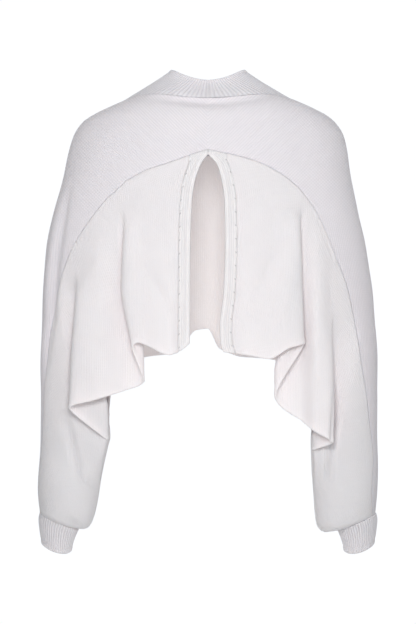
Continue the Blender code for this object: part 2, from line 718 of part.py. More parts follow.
def build_cuff(side):
    columns = np.concatenate([sleeve_part(side, part)[-1][:-1] for part in ("back", "strip", "front")])
    seam = surface(side, columns, CUFF_LEVEL)
    seam_normals = outward(side, columns, CUFF_LEVEL)
    sign = -1 if side == "left" else 1
    top = SLEEVE[-1]
    seam_inner = getattr(top, side)
    seam_outer = between(OUTLINE, side, CUFF_LEVEL)
    centre, half = (seam_outer + seam_inner) / 2, (seam_outer - seam_inner) / 2
    turn = np.arctan2(-(seam[:, 1] - top.middle) / top.half_depth, (centre - sign * seam[:, 0]) / half)
    sheet = Sheet()
    count = len(columns)
    index = np.zeros((count, len(CUFF)), int)
    for row, ring in enumerate(CUFF):
        middle, reach = (ring.outer + ring.inner) / 2, (ring.outer - ring.inner) / 2
        out = middle - reach * np.cos(turn)
        deep = ring.middle - ring.half_depth * np.sin(turn)
        height = (
            ring.level
            + between(SLANT, "outward", ring.level) * (out - SLANT_MIDDLE)
            + between(SLANT, "forward", ring.level) * deep
        )
        places = np.stack([sign * out, deep, height], -1)
        normals = np.stack([-sign * np.cos(turn) / reach, -np.sin(turn) / ring.half_depth, 0 * turn], -1)
        normals /= np.linalg.norm(normals, axis=1, keepdims=True)
        if row == 0:
            places, normals = seam, seam_normals
        for i in range(count):
            index[i, row] = sheet.point((i, row), places[i], normals[i])
    index = np.concatenate([index, index[:1]])
    sheet.weave(index, side == "left")
    make_wall(f"cuff_{side}", sheet, RIB, "ribbed")


def main():
    for thing in list(bpy.data.objects):
        bpy.data.objects.remove(thing)
    build_neckband()
    build_yoke()
    build_front()
    for side in ("left", "right"):
        build_back(side)
        build_opening_band(side)
        build_cuff(side)


main()
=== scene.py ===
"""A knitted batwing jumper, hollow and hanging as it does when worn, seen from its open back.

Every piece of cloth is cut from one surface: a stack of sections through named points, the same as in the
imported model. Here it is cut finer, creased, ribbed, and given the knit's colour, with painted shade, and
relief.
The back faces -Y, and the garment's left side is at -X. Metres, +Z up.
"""

from collections import namedtuple
from functools import cache, reduce

import bpy
import numpy as np
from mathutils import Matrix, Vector
from mathutils.kdtree import KDTree


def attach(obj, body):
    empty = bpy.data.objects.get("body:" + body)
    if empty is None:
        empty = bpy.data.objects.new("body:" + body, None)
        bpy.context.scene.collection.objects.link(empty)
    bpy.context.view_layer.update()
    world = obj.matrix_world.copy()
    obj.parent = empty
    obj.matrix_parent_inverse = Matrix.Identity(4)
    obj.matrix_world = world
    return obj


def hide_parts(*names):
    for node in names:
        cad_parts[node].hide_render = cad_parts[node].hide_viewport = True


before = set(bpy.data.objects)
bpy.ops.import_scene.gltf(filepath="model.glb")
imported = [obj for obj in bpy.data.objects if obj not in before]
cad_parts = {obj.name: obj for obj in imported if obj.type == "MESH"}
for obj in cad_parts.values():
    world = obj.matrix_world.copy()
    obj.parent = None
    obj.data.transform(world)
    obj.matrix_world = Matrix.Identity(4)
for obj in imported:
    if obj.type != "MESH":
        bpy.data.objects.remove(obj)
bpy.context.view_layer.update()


def rows_of(fields, *values):
    """A table's rows, with each value under its field's name."""
    row = namedtuple("Row", fields)
    return [row(*each) for each in values]


SIDES = {"left": -1, "right": 1}  # and the sign of x there

# Driving sizes
CLOTH = 0.0024  # thickness of the plain knit
RIB = 0.0030  # thickness of the ribbed bands and cuffs
BAND_WIDTH = 0.016  # ribbed band along the back opening
LEVEL_TILT_END = -0.150  # sections are level below this, and dip to the front neckline above it
SPREAD_END = -0.130  # down to here the points fan out from their places round the neck

POINTS = "K E C1 C2 R1 V1 U1 M R2 W B1 B2 B3 O F3 F2 F1 J G2 G H CF".split()
AT = {name: number for number, name in enumerate(POINTS)}

# Half-width of the whole garment at a level
OUTLINE = rows_of(
    "level left right",
    (0.000, 0.124, 0.126), (-0.008, 0.143, 0.149), (-0.018, 0.164, 0.170), (-0.030, 0.181, 0.184),
    (-0.049, 0.193, 0.195), (-0.075, 0.201, 0.201), (-0.110, 0.209, 0.206), (-0.160, 0.222, 0.216),
    (-0.220, 0.233, 0.228), (-0.290, 0.239, 0.239), (-0.380, 0.241, 0.244), (-0.500, 0.242, 0.245),
    (-0.580, 0.245, 0.244), (-0.615, 0.243, 0.242),
)

# How far the back and the front stand from the shoulder line at a level.
DEPTH = rows_of(
    "level back front",
    (0.000, 0.075, 0.088), (-0.030, 0.090, 0.098), (-0.075, 0.100, 0.108), (-0.150, 0.107, 0.117),
    (-0.300, 0.109, 0.120), (-0.500, 0.104, 0.116),
)

# Half-width of the teardrop opening at a level. It starts at the top row.
OPENING = rows_of(
    "level left right",
    (-0.082, 0.0000, 0.0000), (-0.086, 0.0045, 0.0055), (-0.097, 0.0115, 0.0140),
    (-0.122, 0.0200, 0.0210), (-0.150, 0.0240, 0.0245), (-0.210, 0.0262, 0.0255),
    (-0.275, 0.0268, 0.0235), (-0.330, 0.0270, 0.0180), (-0.352, 0.0272, 0.0190),
    (-0.366, 0.0272, 0.0235),
)

# The two folds of each side. Ridge and valley are distances from the middle at the three levels. The
# ridge stands out by lift and the valley is set in by inset, both grown from nothing at the top.
Fold = namedtuple("Fold", "top mid hem ridge_top ridge_mid ridge_hem valley_mid valley_hem lift inset")
FOLDS = {
    ("left", "inner"): Fold(-0.139, -0.270, -0.360, 0.117, 0.123, 0.107, 0.108, 0.093, 0.003, 0.017),
    ("left", "outer"): Fold(-0.240, -0.360, -0.440, 0.186, 0.197, 0.204, 0.170, 0.1445, 0.012, 0.031),
    ("right", "inner"): Fold(-0.130, -0.260, -0.390, 0.131, 0.134, 0.140, 0.116, 0.097, 0.003, 0.017),
    ("right", "outer"): Fold(-0.290, -0.420, -0.502, 0.176, 0.179, 0.179, 0.168, 0.153, 0.010, 0.026),
}
FoldRow = namedtuple("FoldRow", "level ridge valley under")
FOLD_PITCH = 0.008  # between the fold's points where it hasn't started yet
FLAP_LIFT = 0.004  # fullness in the middle of the hanging flap
BAND_OUTER_LEAST = 0.027  # least distance of the band's outer edge from the middle
EDGE_INSET = 0.010  # how far the edge of the opening turns in at the hem
BAND_INSET = 0.004  # and the band's outer edge
FULLNESS = 0.003  # of the centre back at the hem

# Level of the hem at the points of the back, and at those of the front.
HemPoint = namedtuple("HemPoint", "column level")
HEM = {
    "left": dict(K=-0.352, E=-0.364, C1=-0.368, C2=-0.3545, R1=-0.357, V1=-0.407, U1=-0.4205, M=-0.433,
                 R2=-0.445, W=-0.4915, J=-0.4915, G2=-0.404, G=-0.367, H=-0.333, CF=-0.331),
    "right": dict(K=-0.364, E=-0.366, C1=-0.3685, C2=-0.3737, R1=-0.352, V1=-0.427, U1=-0.462, M=-0.480,
                  R2=-0.493, W=-0.5045, J=-0.5045, G2=-0.410, G=-0.372, H=-0.360, CF=-0.331),
}

FRONT_HEM_SIDE = {"left": -0.373, "right": -0.376}  # level of the front's hem halfway from G2 to G
BACK_HEM_SIDE = {"left": -0.3505, "right": -0.357}  # and of the back's, halfway from C2 to R1

# Distance from the middle, at and above the inner fold's top, of the points that no other table places,
# and the angle round the neck, from centre back, at which each point starts.
UPPER_X = dict(C1=0.056, C2=0.088)
NECK_ANGLE = dict(C1=26, C2=40, R1=52, V1=56, U1=60, M=67, R2=74, W=77, B1=81, B2=84, B3=87, O=90,
                  F3=94, F2=98, F1=103, J=109, G2=122, G=152, H=168, CF=180)
SLEEVE_ANGLE = dict(B1=66, B2=74, B3=82, O=90, F3=98, F2=107, F1=116)  # on the sections above the folds
MOST_ANGLE = dict(R2=56, W=60, J=60)  # from the middle, so that the points stay in order at the shoulder
SOFTNESS = 0.03  # radians over which that limit is reached
BEHIND_FOLD_ANGLE = dict(B1=22, B2=45, B3=68)  # on the quarter of an ellipse behind the outer fold
RING_ANGLE = dict(W=0, B1=45, B2=90, B3=135, O=180, F3=225, F2=270, F1=315, J=360)  # round the sleeve
FRONT_X = dict(G2=0.140, G=0.046, H=0.017)
FRONT_WING = rows_of("level x", (-0.150, 0.184), (-0.300, 0.176), (-0.420, 0.146), (-0.505, 0.146))

# The sleeve below the wing: inner side, half its depth from front to back, and its middle in depth.
SLEEVE = rows_of(
    "level left right half_depth middle",
    (-0.4900, 0.145, 0.152, 0.050, 0.000), (-0.5200, 0.153, 0.153, 0.048, 0.001),
    (-0.5650, 0.160, 0.154, 0.044, 0.004), (-0.5950, 0.168, 0.158, 0.040, 0.008),
    (-0.6090, 0.176, 0.166, 0.036, 0.010), (-0.6155, 0.190, 0.184, 0.028, 0.010),
)
WING_Y = -0.050  # depth of the corner where the two hems meet
WING_FADE = 0.080  # length over which that corner rounds off, down the sleeve
WING_CLOSING = 0.090  # length over which front and back come together above it
SLEEVE_CLOSING = 0.150  # length over which the sleeve's front takes the ring's shape
WING_TURN = 0.050  # length over which the cloth turns to run round the sleeve there
WING_PULL = 0.30  # how much of its full bow the front keeps where it meets that corner
WRAP_LENGTH = 0.105  # length over which the front wraps round the inner side to the corner
WRAP_IN = 0.001  # how far inside the corner its wrapped point ends
WRAP_BACK = 0.015  # and how far behind it
CUFF_LEVEL = -0.6155
AT_WING = 1e-6  # a point less than this above the wing's level counts as below it
TINY = 1e-12  # added to a length that may be nothing, before it divides

# The cuff's rings
CUFF = rows_of(
    "level inner outer half_depth middle",
    (-0.6155, 0.188, 0.2430, 0.0275, 0.010), (-0.6260, 0.192, 0.2445, 0.0270, 0.011),
    (-0.6400, 0.196, 0.2430, 0.0265, 0.012), (-0.6550, 0.199, 0.2400, 0.0260, 0.013),
)
# How much the sections rise per metre outwards from the slant's middle, and per metre forwards
SLANT = rows_of(
    "level outward forward",
    (-0.500, 0.00, 0.00), (-0.600, 0.38, 0.08), (-0.6155, 0.42, 0.12), (-0.655, 0.27, 0.30),
)
SLANT_MIDDLE = 0.205

# Arch seam of the back: the panel lies inside it and the yoke outside it.
ARCH = rows_of(
    "level left right",
    (-0.075, 0.000, 0.000), (-0.083, 0.026, 0.036), (-0.093, 0.051, 0.070), (-0.104, 0.085, 0.093),
    (-0.117, 0.110, 0.114), (-0.149, 0.149, 0.146), (-0.176, 0.170, 0.162), (-0.218, 0.196, 0.179),
    (-0.273, 0.216, 0.200), (-0.336, 0.228, 0.213), (-0.380, 0.2325, 0.220), (-0.430, 0.2365, 0.2285),
    (-0.500, 0.2395, 0.2365),
)
ARCH_STEPS = 60  # levels at which its column is looked up
# Lower down, the seam of the back and that of the front are set by columns
ArchColumn = namedtuple("ArchColumn", "level column")
SLEEVE_ARCH_END = {"left": AT["F3"] - 0.55, "right": AT["B3"] + 0.35}
FRONT_ARCH = [ArchColumn(-0.049, AT["CF"]), ArchColumn(-0.051, AT["H"]), ArchColumn(-0.068, AT["G"]),
              ArchColumn(-0.130, AT["G2"])]
FRONT_SLEEVE_ARCH = [ArchColumn(-0.290, AT["F1"]), ArchColumn(-0.390, AT["F2"] + 0.2)]
FRONT_SLEEVE_ARCH_END = {"left": AT["F3"] + 0.45, "right": AT["F3"]}

# The neckband's free edge
NECK_HALF_WIDTH = 0.0525
NECK_BACK = 0.044
NECK_FRONT = 0.062
NECK_EDGE_HEIGHT = dict(back=0.0265, side=0.0445, front=-0.002)
NECK_SEAM_RISE = dict(back=0.001, side=-0.004, front=-0.040, shoulder=0.0075)
NECK_BULGE = -0.0015  # the band is hollow between its seam and its edge

# How finely the cloth is cut here.
PITCH = 0.0034  # between columns, along the widest section that a piece reaches
YOKE_ROWS = 44
PANEL_ROWS = 66
SLEEVE_ROWS = 44
SLEEVE_PARTS = ("back", "strip", "front")
STRIP_COLUMNS = 44
SLEEVE_SIDE_COLUMNS = 34
BAND_COLUMNS = 12
NEAR_EDGE = [0.0, 0.0012, 0.0026, 0.0048]  # rows beside a seam or hem are closer together
NEAR_SIDE = [0.0, 0.010, 0.026, 0.052]  # the same for columns, as parts of the width
NECK_ROWS = [0.0, 0.02, 0.05, *np.linspace(0.09, 0.93, 20), 0.96, 0.985, 1.0]  # parts of the way up
EVEN_CUFF_ROWS = 14  # those of the cuff between the rows near its ends
EVEN_CUFF_ENDS = (0.0065, 0.0055)  # how far from its top and its lower edge they begin
FINE = 400  # columns at which a seam is looked up or measured
WIDTH_LEVELS = 16  # levels at which a piece's width is measured for the pitch
BACK_PITCH_TOP = -0.09  # uppermost of them on the back panels
FRONT_PITCH_TOP = -0.13  # and on the front

# Ribs of the bands: how many go round the neck and each cuff, and how far they stand out.
NECK_RIBS = 94
CUFF_RIBS = 46
COLUMNS_PER_RIB = 6
RIB_HEIGHT = 0.0008
SEAM_RIBS = 0.45  # share of that height which they have at the seam
RIB_GROWTH = 0.3  # part of the way to the edge over which they reach all of it
JOIN_SINK = 0.0005  # of the neckband's join at the centre back
JOIN_WIDTH = 0.6  # of that join, in ribs
PEAK_DROP = 0.0022  # how far the band's free edge rounds down at its sides
OPENING_RIB_PITCH = 0.0032
OPENING_RIB_HEIGHT = 0.0002
EDGE_ROLL = 0.0012  # how far a free edge rounds out past its last row
HEM_LIFT = 0.00045  # how much thicker a hem is on each side
HEM_FADE = (0.0040, 0.0055)  # distances from the edge between which that ends
GROOVE_PLACE = 0.00625  # distance of the linked line from the hem's edge
GROOVE_WIDTH = 0.0011
GROOVE_DEPTH = 0.00036
SEAM_SINK = 0.00015  # how far the cloth sinks in at a seam
SEAM_SINK_INSIDE = 0.4  # how much of that shows on the inside
SEAM_REACH = 0.0020
SEAM_MEET = 0.0022  # edges nearer than this to another piece's are sewn to it
EDGE_SEARCH = 0.03  # how far from the seams and free edges their distance is still measured
CREASE_END = 0.02  # in this last part of its length a crease fades no more
CREASE_TAPER = 0.6  # the less it is, the later a crease fades
UNEVENNESS = 0.0007  # of the whole cloth

# Creases laid in one by one, on the side of the garment that they face. Each runs through points across and
# up. It is a ridge where its rise is positive, and a trough where it is negative.
CREASES = rows_of(
    "facing points width rise",
    # outer side of the left sleeve
    ("left", [(-0.040, -0.130), (-0.042, -0.199), (-0.040, -0.238), (-0.040, -0.316), (-0.022, -0.400)],
     0.0050, -0.0055),
    ("left", [(-0.026, -0.130), (-0.028, -0.199), (-0.026, -0.238), (-0.026, -0.316), (-0.008, -0.400)],
     0.0080, 0.0030),
    # and of the right one, further to the front
    ("right", [(0.020, -0.140), (0.024, -0.205), (0.020, -0.262), (0.016, -0.335), (0.004, -0.420)],
     0.0050, -0.0045),
    ("right", [(0.035, -0.140), (0.039, -0.205), (0.035, -0.262), (0.031, -0.335), (0.019, -0.420)],
     0.0080, 0.0025),
    # left forearm, running down and in to the inner side
    ("back", [(-0.207, -0.451), (-0.200, -0.481), (-0.191, -0.516), (-0.180, -0.551), (-0.161, -0.568)],
     0.0055, -0.0055),
    ("back", [(-0.207, -0.600), (-0.196, -0.612), (-0.183, -0.622)], 0.005, -0.0030),
    # right forearm
    ("back", [(0.183, -0.416), (0.181, -0.465), (0.177, -0.516), (0.174, -0.561)], 0.0050, -0.0050),
    # soft pulls across the hanging back
    ("back", [(-0.088, -0.248), (-0.068, -0.280), (-0.046, -0.312)], 0.009, -0.0035),
    ("back", [(0.107, -0.193), (0.088, -0.240), (0.067, -0.287)], 0.009, -0.0035),
    # under the neckband
    ("back", [(-0.048, 0.001), (-0.030, -0.001), (-0.011, -0.004)], 0.0028, -0.0038),
    ("back", [(-0.092, 0.001), (-0.060, -0.0010), (-0.030, -0.0045), (0.000, -0.0060), (0.030, -0.0045),
              (0.060, -0.0010), (0.088, 0.001)], 0.0068, -0.0052),
    # the front has the like: pulls from the armpits, folds down the forearms, and one under the neckband
    ("front", [(-0.150, -0.175), (-0.118, -0.235), (-0.085, -0.300)], 0.008, -0.0042),
    ("front", [(0.156, -0.190), (0.126, -0.250), (0.090, -0.322)], 0.008, -0.0046),
    ("front", [(-0.176, -0.250), (-0.168, -0.330), (-0.152, -0.420)], 0.006, -0.0045),
    ("front", [(0.180, -0.235), (0.172, -0.310), (0.157, -0.395)], 0.006, -0.0040),
    ("front", [(-0.217, -0.440), (-0.207, -0.500), (-0.195, -0.545), (-0.184, -0.578)], 0.005, -0.0045),
    ("front", [(0.222, -0.425), (0.209, -0.480), (0.198, -0.525), (0.190, -0.570)], 0.005, -0.0045),
    ("front", [(-0.062, -0.061), (-0.020, -0.074), (0.020, -0.075), (0.064, -0.059)], 0.006, -0.0030),
)


def between(table, column, level):
    """A table's column at a level, on a smooth curve that never overshoots its rows."""
    rows = sorted(table, key=lambda row: row[0])
    known = np.array([row[0] for row in rows])
    value = np.array([getattr(row, column) for row in rows])
    step = np.diff(known)
    rise = np.diff(value) / step
    slope = np.zeros(len(rows))
    slope[0], slope[-1] = rise[0], rise[-1]
    for i in range(1, len(rows) - 1):
        if rise[i - 1] * rise[i] > 0:
            slope[i] = 2 * rise[i - 1] * rise[i] / (rise[i - 1] + rise[i])
    level = np.clip(level, known[0], known[-1])
    at = np.clip(np.searchsorted(known, level, side="right") - 1, 0, len(rows) - 2)
    part = (level - known[at]) / step[at]
    return hermite(value[at], value[at + 1], slope[at] * step[at], slope[at + 1] * step[at], part)


def hermite(start, end, start_slope, end_slope, part):
    """A cubic from start to end, with its slopes given over the whole way."""
    return (
        start * (1 + 2 * part) * (1 - part) ** 2
        + start_slope * part * (1 - part) ** 2
        + end * part**2 * (3 - 2 * part)
        - end_slope * part**2 * (1 - part)
    )


def ease(level, start, end):
    """0 at the start, 1 at the end, smooth at both."""
    part = np.clip((level - start) / (end - start), 0, 1)
    return part * part * (3 - 2 * part)


def mix(a, b, part):
    return a + (b - a) * part


def bell(distance, width):
    """1 at no distance, and next to nothing beyond two widths."""
    return np.exp(-((distance / width) ** 2))


def unit(vectors, guard=0.0):
    """The vectors at length 1. The guard is for those without any length."""
    return vectors / (np.linalg.norm(vectors, axis=-1, keepdims=True) + guard)


def soft_least(angle, most):
    """The lesser of the angle and the most, rounded off where they are near each other."""
    return -SOFTNESS * np.log(np.exp(-angle / SOFTNESS) + np.exp(-most / SOFTNESS))


def back_y(x, width, depth):
    return -depth * np.sqrt(np.clip(1 - (x / width) ** 2, 0, 1))


def fold_x(fold, level):
    """Ridge, valley and under-layer of a fold, as distances from the middle."""
    rows = [
        FoldRow(fold.top, fold.ridge_top, fold.ridge_top + FOLD_PITCH, fold.ridge_top + 2 * FOLD_PITCH),
        FoldRow(fold.mid, fold.ridge_mid, fold.valley_mid, fold.ridge_mid + 0.5 * FOLD_PITCH),
        FoldRow(fold.hem, fold.ridge_hem, fold.valley_hem, fold.ridge_mid),
    ]
    return [between(rows, column, level) for column in ("ridge", "valley", "under")]


def section(side, level):
    """Distance from the middle and depth of the named points, for an array of levels."""
    level = np.asarray(level, float)
    width = between(OUTLINE, side, level)
    depth = between(DEPTH, "back", level)
    front = between(DEPTH, "front", level)
    x, y = {}, {}

    inner, outer = FOLDS[side, "inner"], FOLDS[side, "outer"]
    grown_1 = ease(level, inner.top, inner.hem)
    grown_2 = ease(level, outer.top, outer.hem)
    x["K"] = np.where(level > OPENING[0].level, 0, between(OPENING, side, level))
    x["E"] = np.maximum(x["K"] + BAND_WIDTH, BAND_OUTER_LEAST)
    x["C1"], x["C2"] = UPPER_X["C1"], UPPER_X["C2"]
    x["R1"], x["V1"], x["U1"] = fold_x(inner, level)
    x["R2"], x["W"], _ = fold_x(outer, level)
    x["M"] = (x["U1"] + x["R2"]) / 2
    x["J"] = between(FRONT_WING, "x", level)
    x.update(FRONT_X, CF=0.0)

    # The points fan out from the neck to their places lower down.
    spread = ease(level, 0.0, SPREAD_END)
    for name, degrees in NECK_ANGLE.items():
        if name in SLEEVE_ANGLE:
            lower = np.radians(SLEEVE_ANGLE[name])
        else:
            lower = np.arcsin(np.clip(x[name] / width, 0, 1))
            lower = soft_least(lower, np.radians(MOST_ANGLE.get(name, 90)))
            lower = np.pi - lower if AT[name] > AT["O"] else lower
            inside = np.minimum(x[name], width * np.sin(lower))
        fanned = width * np.sin(mix(np.radians(degrees), lower, spread))
        x[name] = fanned if name in SLEEVE_ANGLE else np.where(spread < 1, fanned, inside)
        y[name] = back_y(x[name], width, depth if AT[name] <= AT["O"] else -front)
    for name in ("K", "E"):
        y[name] = back_y(x[name], width, depth)

    inwards = dict(K=EDGE_INSET, E=BAND_INSET, C1=-FULLNESS, C2=-FULLNESS, R1=-inner.lift, V1=inner.inset,
                   U1=inner.inset, M=-FLAP_LIFT)
    for name, distance in inwards.items():
        y[name] = y[name] + distance * grown_1
    y["R2"] = y["R2"] - outer.lift * grown_2
    y["W"] = y["W"] + outer.inset * grown_2

    for name, degrees in BEHIND_FOLD_ANGLE.items():
        turn = np.radians(degrees)
        x[name] = mix(x[name], mix(x["W"], width, np.sin(turn)), grown_2)
        y[name] = mix(y[name], y["W"] * np.cos(turn), grown_2)

    # Towards the wing corner the front closes on the back, and below it the sleeve is a ring.
    wing = HEM[side]["W"]
    closed = ease(level, wing + SLEEVE_CLOSING, wing)
    shut = ease(level, wing + WING_CLOSING, wing)
    ring = ease(level, wing, wing - WING_FADE)
    hang = between(SLEEVE, side, level)
    deep = between(SLEEVE, "half_depth", level)
    middle = between(SLEEVE, "middle", level)
    centre, half = (width + hang) / 2, (width - hang) / 2
    wrap = ease(level, wing + WRAP_LENGTH, wing)
    closing = (
        ("J", hang, WING_Y, shut),
        ("W", hang, WING_Y, shut),
        ("G2", hang - WRAP_IN, WING_Y - WRAP_BACK, wrap),
    )
    for name, to_x, to_y, part in closing:
        x[name], y[name] = mix(x[name], to_x, part), mix(y[name], to_y, part)
    for name, degrees in RING_ANGLE.items():
        part = closed if name in ("F3", "F2", "F1") else ring
        turn = np.radians(degrees)
        x[name] = mix(x[name], centre - half * np.cos(turn), part)
        y[name] = mix(y[name], middle - deep * np.sin(turn), part)
    below = level < wing + AT_WING
    for name, other in (("R2", "F1"), ("G2", "B1")):
        x[name] = np.where(below, x[other], x[name])
        y[name] = np.where(below, y[other], y[name])
    blank = np.zeros_like(level)
    return [np.stack([values[name] + blank for name in POINTS], -1) for values in (x, y)]


def chords(side, level):
    """Lengths of the straight lines from each of a section's named points to the next."""
    x, y = section(side, level)
    return np.hypot(np.diff(x, axis=1), np.diff(y, axis=1))


def neck_angle(side, out, deep, level):
    """Angle of points round the neck, from centre back."""
    depth = np.where(deep < 0, between(DEPTH, "back", level), between(DEPTH, "front", level))
    return np.arctan2(np.abs(out) / between(OUTLINE, side, level), -deep / depth)


def round_neck(height, angle):
    """A height round the neck that is known at its back, side and front."""
    behind = mix(height["back"], height["side"], np.sin(angle) ** 2)
    ahead = mix(height["side"], height["front"], np.cos(angle) ** 2)
    return np.where(angle < np.pi / 2, behind, ahead)


def seam_rise(angle):
    """Height of the neck seam over its section. It rises a little more over each shoulder blade."""
    blade = NECK_SEAM_RISE["shoulder"] * np.sin(2 * angle) ** 2
    return round_neck(NECK_SEAM_RISE, angle) + np.where(angle < np.pi / 2, blade, 0)


def slanted(level, out, deep, height):
    """The height of points, changed by the slant of their section."""
    rise = height + between(SLANT, "outward", level) * (out - SLANT_MIDDLE)
    return rise + between(SLANT, "forward", level) * deep


def surface(side, column, level):
    """The cloth's middle surface at columns and levels, as points."""
    column, level = np.broadcast_arrays(np.asarray(column, float), np.asarray(level, float))
    flat_column, flat_level = column.ravel(), level.ravel()
    x, y = section(side, flat_level)
    ends = np.stack([x, y], -1)
    chord = np.diff(ends, axis=1)
    length = np.linalg.norm(chord, axis=-1, keepdims=True)
    straight = chord / length
    way = np.zeros(ends.shape)
    way[:, 1:-1] = straight[:, :-1] + straight[:, 1:]
    way[:, 0] = (1, 0)
    way[:, -1] = (-1, 0)
    way = unit(way, TINY)

    # At the wing corner the cloth leaves and arrives on its way round the sleeve.
    wing = HEM[side]["W"]
    turned = ease(flat_level, wing + WING_TURN, wing)[:, None]
    leave, arrive = way.copy(), way.copy()
    for name, side_way in (("W", leave), ("J", arrive)):
        here = ends[:, AT[name]]
        round_way = unit(here - ends[:, AT["F1"]], TINY) + unit(ends[:, AT["B1"]] - here, TINY)
        side_way[:, AT[name]] = unit(mix(way[:, AT[name]], round_way, turned), TINY)
    corner = turned[:, 0] * (1 - ease(flat_level, wing, wing - WING_FADE))
    arrive[:, AT["J"]] *= mix(1, WING_PULL, corner)[:, None]
    at = np.clip(flat_column.astype(int), 0, len(POINTS) - 2)
    part = (flat_column - at)[:, None]
    each = np.arange(len(at))
    reach = length[each, at]
    start_way, end_way = leave[each, at] * reach, arrive[each, at + 1] * reach
    place = hermite(ends[each, at], ends[each, at + 1], start_way, end_way, part)
    out, deep = place[:, 0], place[:, 1]

    angle = neck_angle(side, out, deep, flat_level)
    fade = np.clip(1 - flat_level / LEVEL_TILT_END, 0, 1)
    height = slanted(flat_level, out, deep, flat_level + seam_rise(angle) * fade)
    return np.stack([SIDES[side] * out, deep, height], -1).reshape(column.shape + (3,))


def outward(side, column, level):
    """Unit normals of the middle surface, facing out."""
    step, drop = 2e-3, 2e-4  # in columns, and in metres
    column = np.asarray(column, float)
    level = np.asarray(level, float)
    last = len(POINTS) - 1
    ahead, behind = np.minimum(column + step, last), np.maximum(column - step, 0)
    seam = np.isin(column, (AT["W"], AT["J"])) & (level < HEM[side]["W"] + drop)
    ahead, behind = np.where(seam, AT["W"] + step, ahead), np.where(seam, AT["J"] - step, behind)
    along = surface(side, ahead, level) - surface(side, behind, level)
    down = surface(side, column, level - drop) - surface(side, column, level + drop)
    normal = np.cross(along, down) if side == "left" else np.cross(down, along)
    on_middle = (column <= 0) & (level > OPENING[0].level) | (column >= last)
    normal[..., 0] = np.where(on_middle, 0, normal[..., 0])
    return unit(normal)


@cache
def arch_rows(side):
    """The arch seam of the back, from the centre back down to the cuff."""
    fine = np.linspace(0, AT["O"], FINE)
    found = []
    for level in np.linspace(ARCH[0].level, ARCH[-1].level, ARCH_STEPS):
        distance = between(ARCH, side, level)
        across = np.abs(surface(side, fine, level)[:, 0])
        found.append(ArchColumn(level, np.interp(distance, across, fine) if distance > 0 else 0.0))
    lower = [found[-4], found[-1], ArchColumn(CUFF_LEVEL, SLEEVE_ARCH_END[side])]
    for level in np.linspace(ARCH[-1].level, CUFF_LEVEL, ARCH_STEPS // 4)[1:]:
        found.append(ArchColumn(level, float(between(lower, "column", level))))
    return found


@cache
def front_arch_rows(side):
    end = ArchColumn(CUFF_LEVEL, FRONT_SLEEVE_ARCH_END[side])
    return FRONT_ARCH + [ArchColumn(sleeve_top(side), AT["J"])] + FRONT_SLEEVE_ARCH + [end]


def seam_level(rows, column):
    rows = sorted(rows, key=lambda row: row.column)
    return float(np.interp(column, [row.column for row in rows], [row.level for row in rows]))


def seam_column(rows, level):
    rows = sorted(rows, key=lambda row: row.level)
    return float(np.interp(level, [row.level for row in rows], [row.column for row in rows]))


@cache
def sleeve_top(side):
    """Level of the fork between arch seam and fold, where the sleeve's own back and front begin."""
    return seam_level(arch_rows(side), AT["W"])


def hem_level(side, column):
    rows = [HemPoint(AT[name], HEM[side][name]) for name in POINTS if name in HEM[side]]
    rows.append(HemPoint(AT["G2"] + 0.5, FRONT_HEM_SIDE[side]))
    rows.append(HemPoint(AT["C2"] + 0.5, BACK_HEM_SIDE[side]))
    rows.append(HemPoint(2 * AT["CF"] - AT["H"], HEM[side]["H"]))  # so that it is level at the centre front
    return float(between(rows, "level", column))


def run_along(side, column, level, anchor):
    """Length along the section from an anchor column to a column, an array of each."""
    chord = chords(side, level)
    total = np.concatenate([np.zeros((len(chord), 1)), np.cumsum(chord, axis=1)], axis=1)
    at = np.clip(column.astype(int), 0, len(POINTS) - 2)
    each = np.arange(len(at))
    return total[each, at] + (column - at) * chord[each, at] - total[:, AT[anchor]]


def columns_between(side, first, last, top, bottom):
    """Columns from one named point to another, a pitch apart where the sections are widest."""
    widest = chords(side, np.linspace(top, bottom, WIDTH_LEVELS)).max(axis=0)
    found = []
    for at in range(AT[first], AT[last]):
        steps = max(2, int(np.ceil(widest[at] / PITCH)))
        found += [at + i / steps for i in range(steps)]
    return found + [float(AT[last])]


def spaced(near, length, count):
    """Steps along a length, closer together at both ends."""
    even = np.linspace(near[-1], length - near[-1], count - 2 * len(near) + 2)[1:-1]
    return np.concatenate([near, even, length - np.array(near[::-1])])


def rows_between(top, bottom, count):
    """Levels from top to bottom, one fewer than the count."""
    if top - bottom <= 4 * NEAR_EDGE[-1]:
        return list(np.linspace(top, bottom, count - 1))
    return list(top - spaced(NEAR_EDGE, top - bottom, count - 1))


def sleeve_levels(side):
    top, wing = sleeve_top(side), HEM[side]["W"]
    return rows_between(top, wing, PANEL_ROWS) + rows_between(wing, CUFF_LEVEL, SLEEVE_ROWS)[1:]


def sleeve_part(side, part):
    """Columns of the sleeve's back, outer strip or front, a list for each of its rows."""
    way = spaced(NEAR_SIDE, 1, STRIP_COLUMNS if part == "strip" else SLEEVE_SIDE_COLUMNS)
    found = []
    for level in sleeve_levels(side):
        seams = [seam_column(rows(side), level) for rows in (arch_rows, front_arch_rows)]
        seams = [AT["W"], AT["J"]] if level == sleeve_top(side) else seams
        bounds = [AT["W"], *seams, AT["J"]]
        start, end = bounds[SLEEVE_PARTS.index(part):][:2]
        found.append(start + way * (end - start))
    return np.array(found)


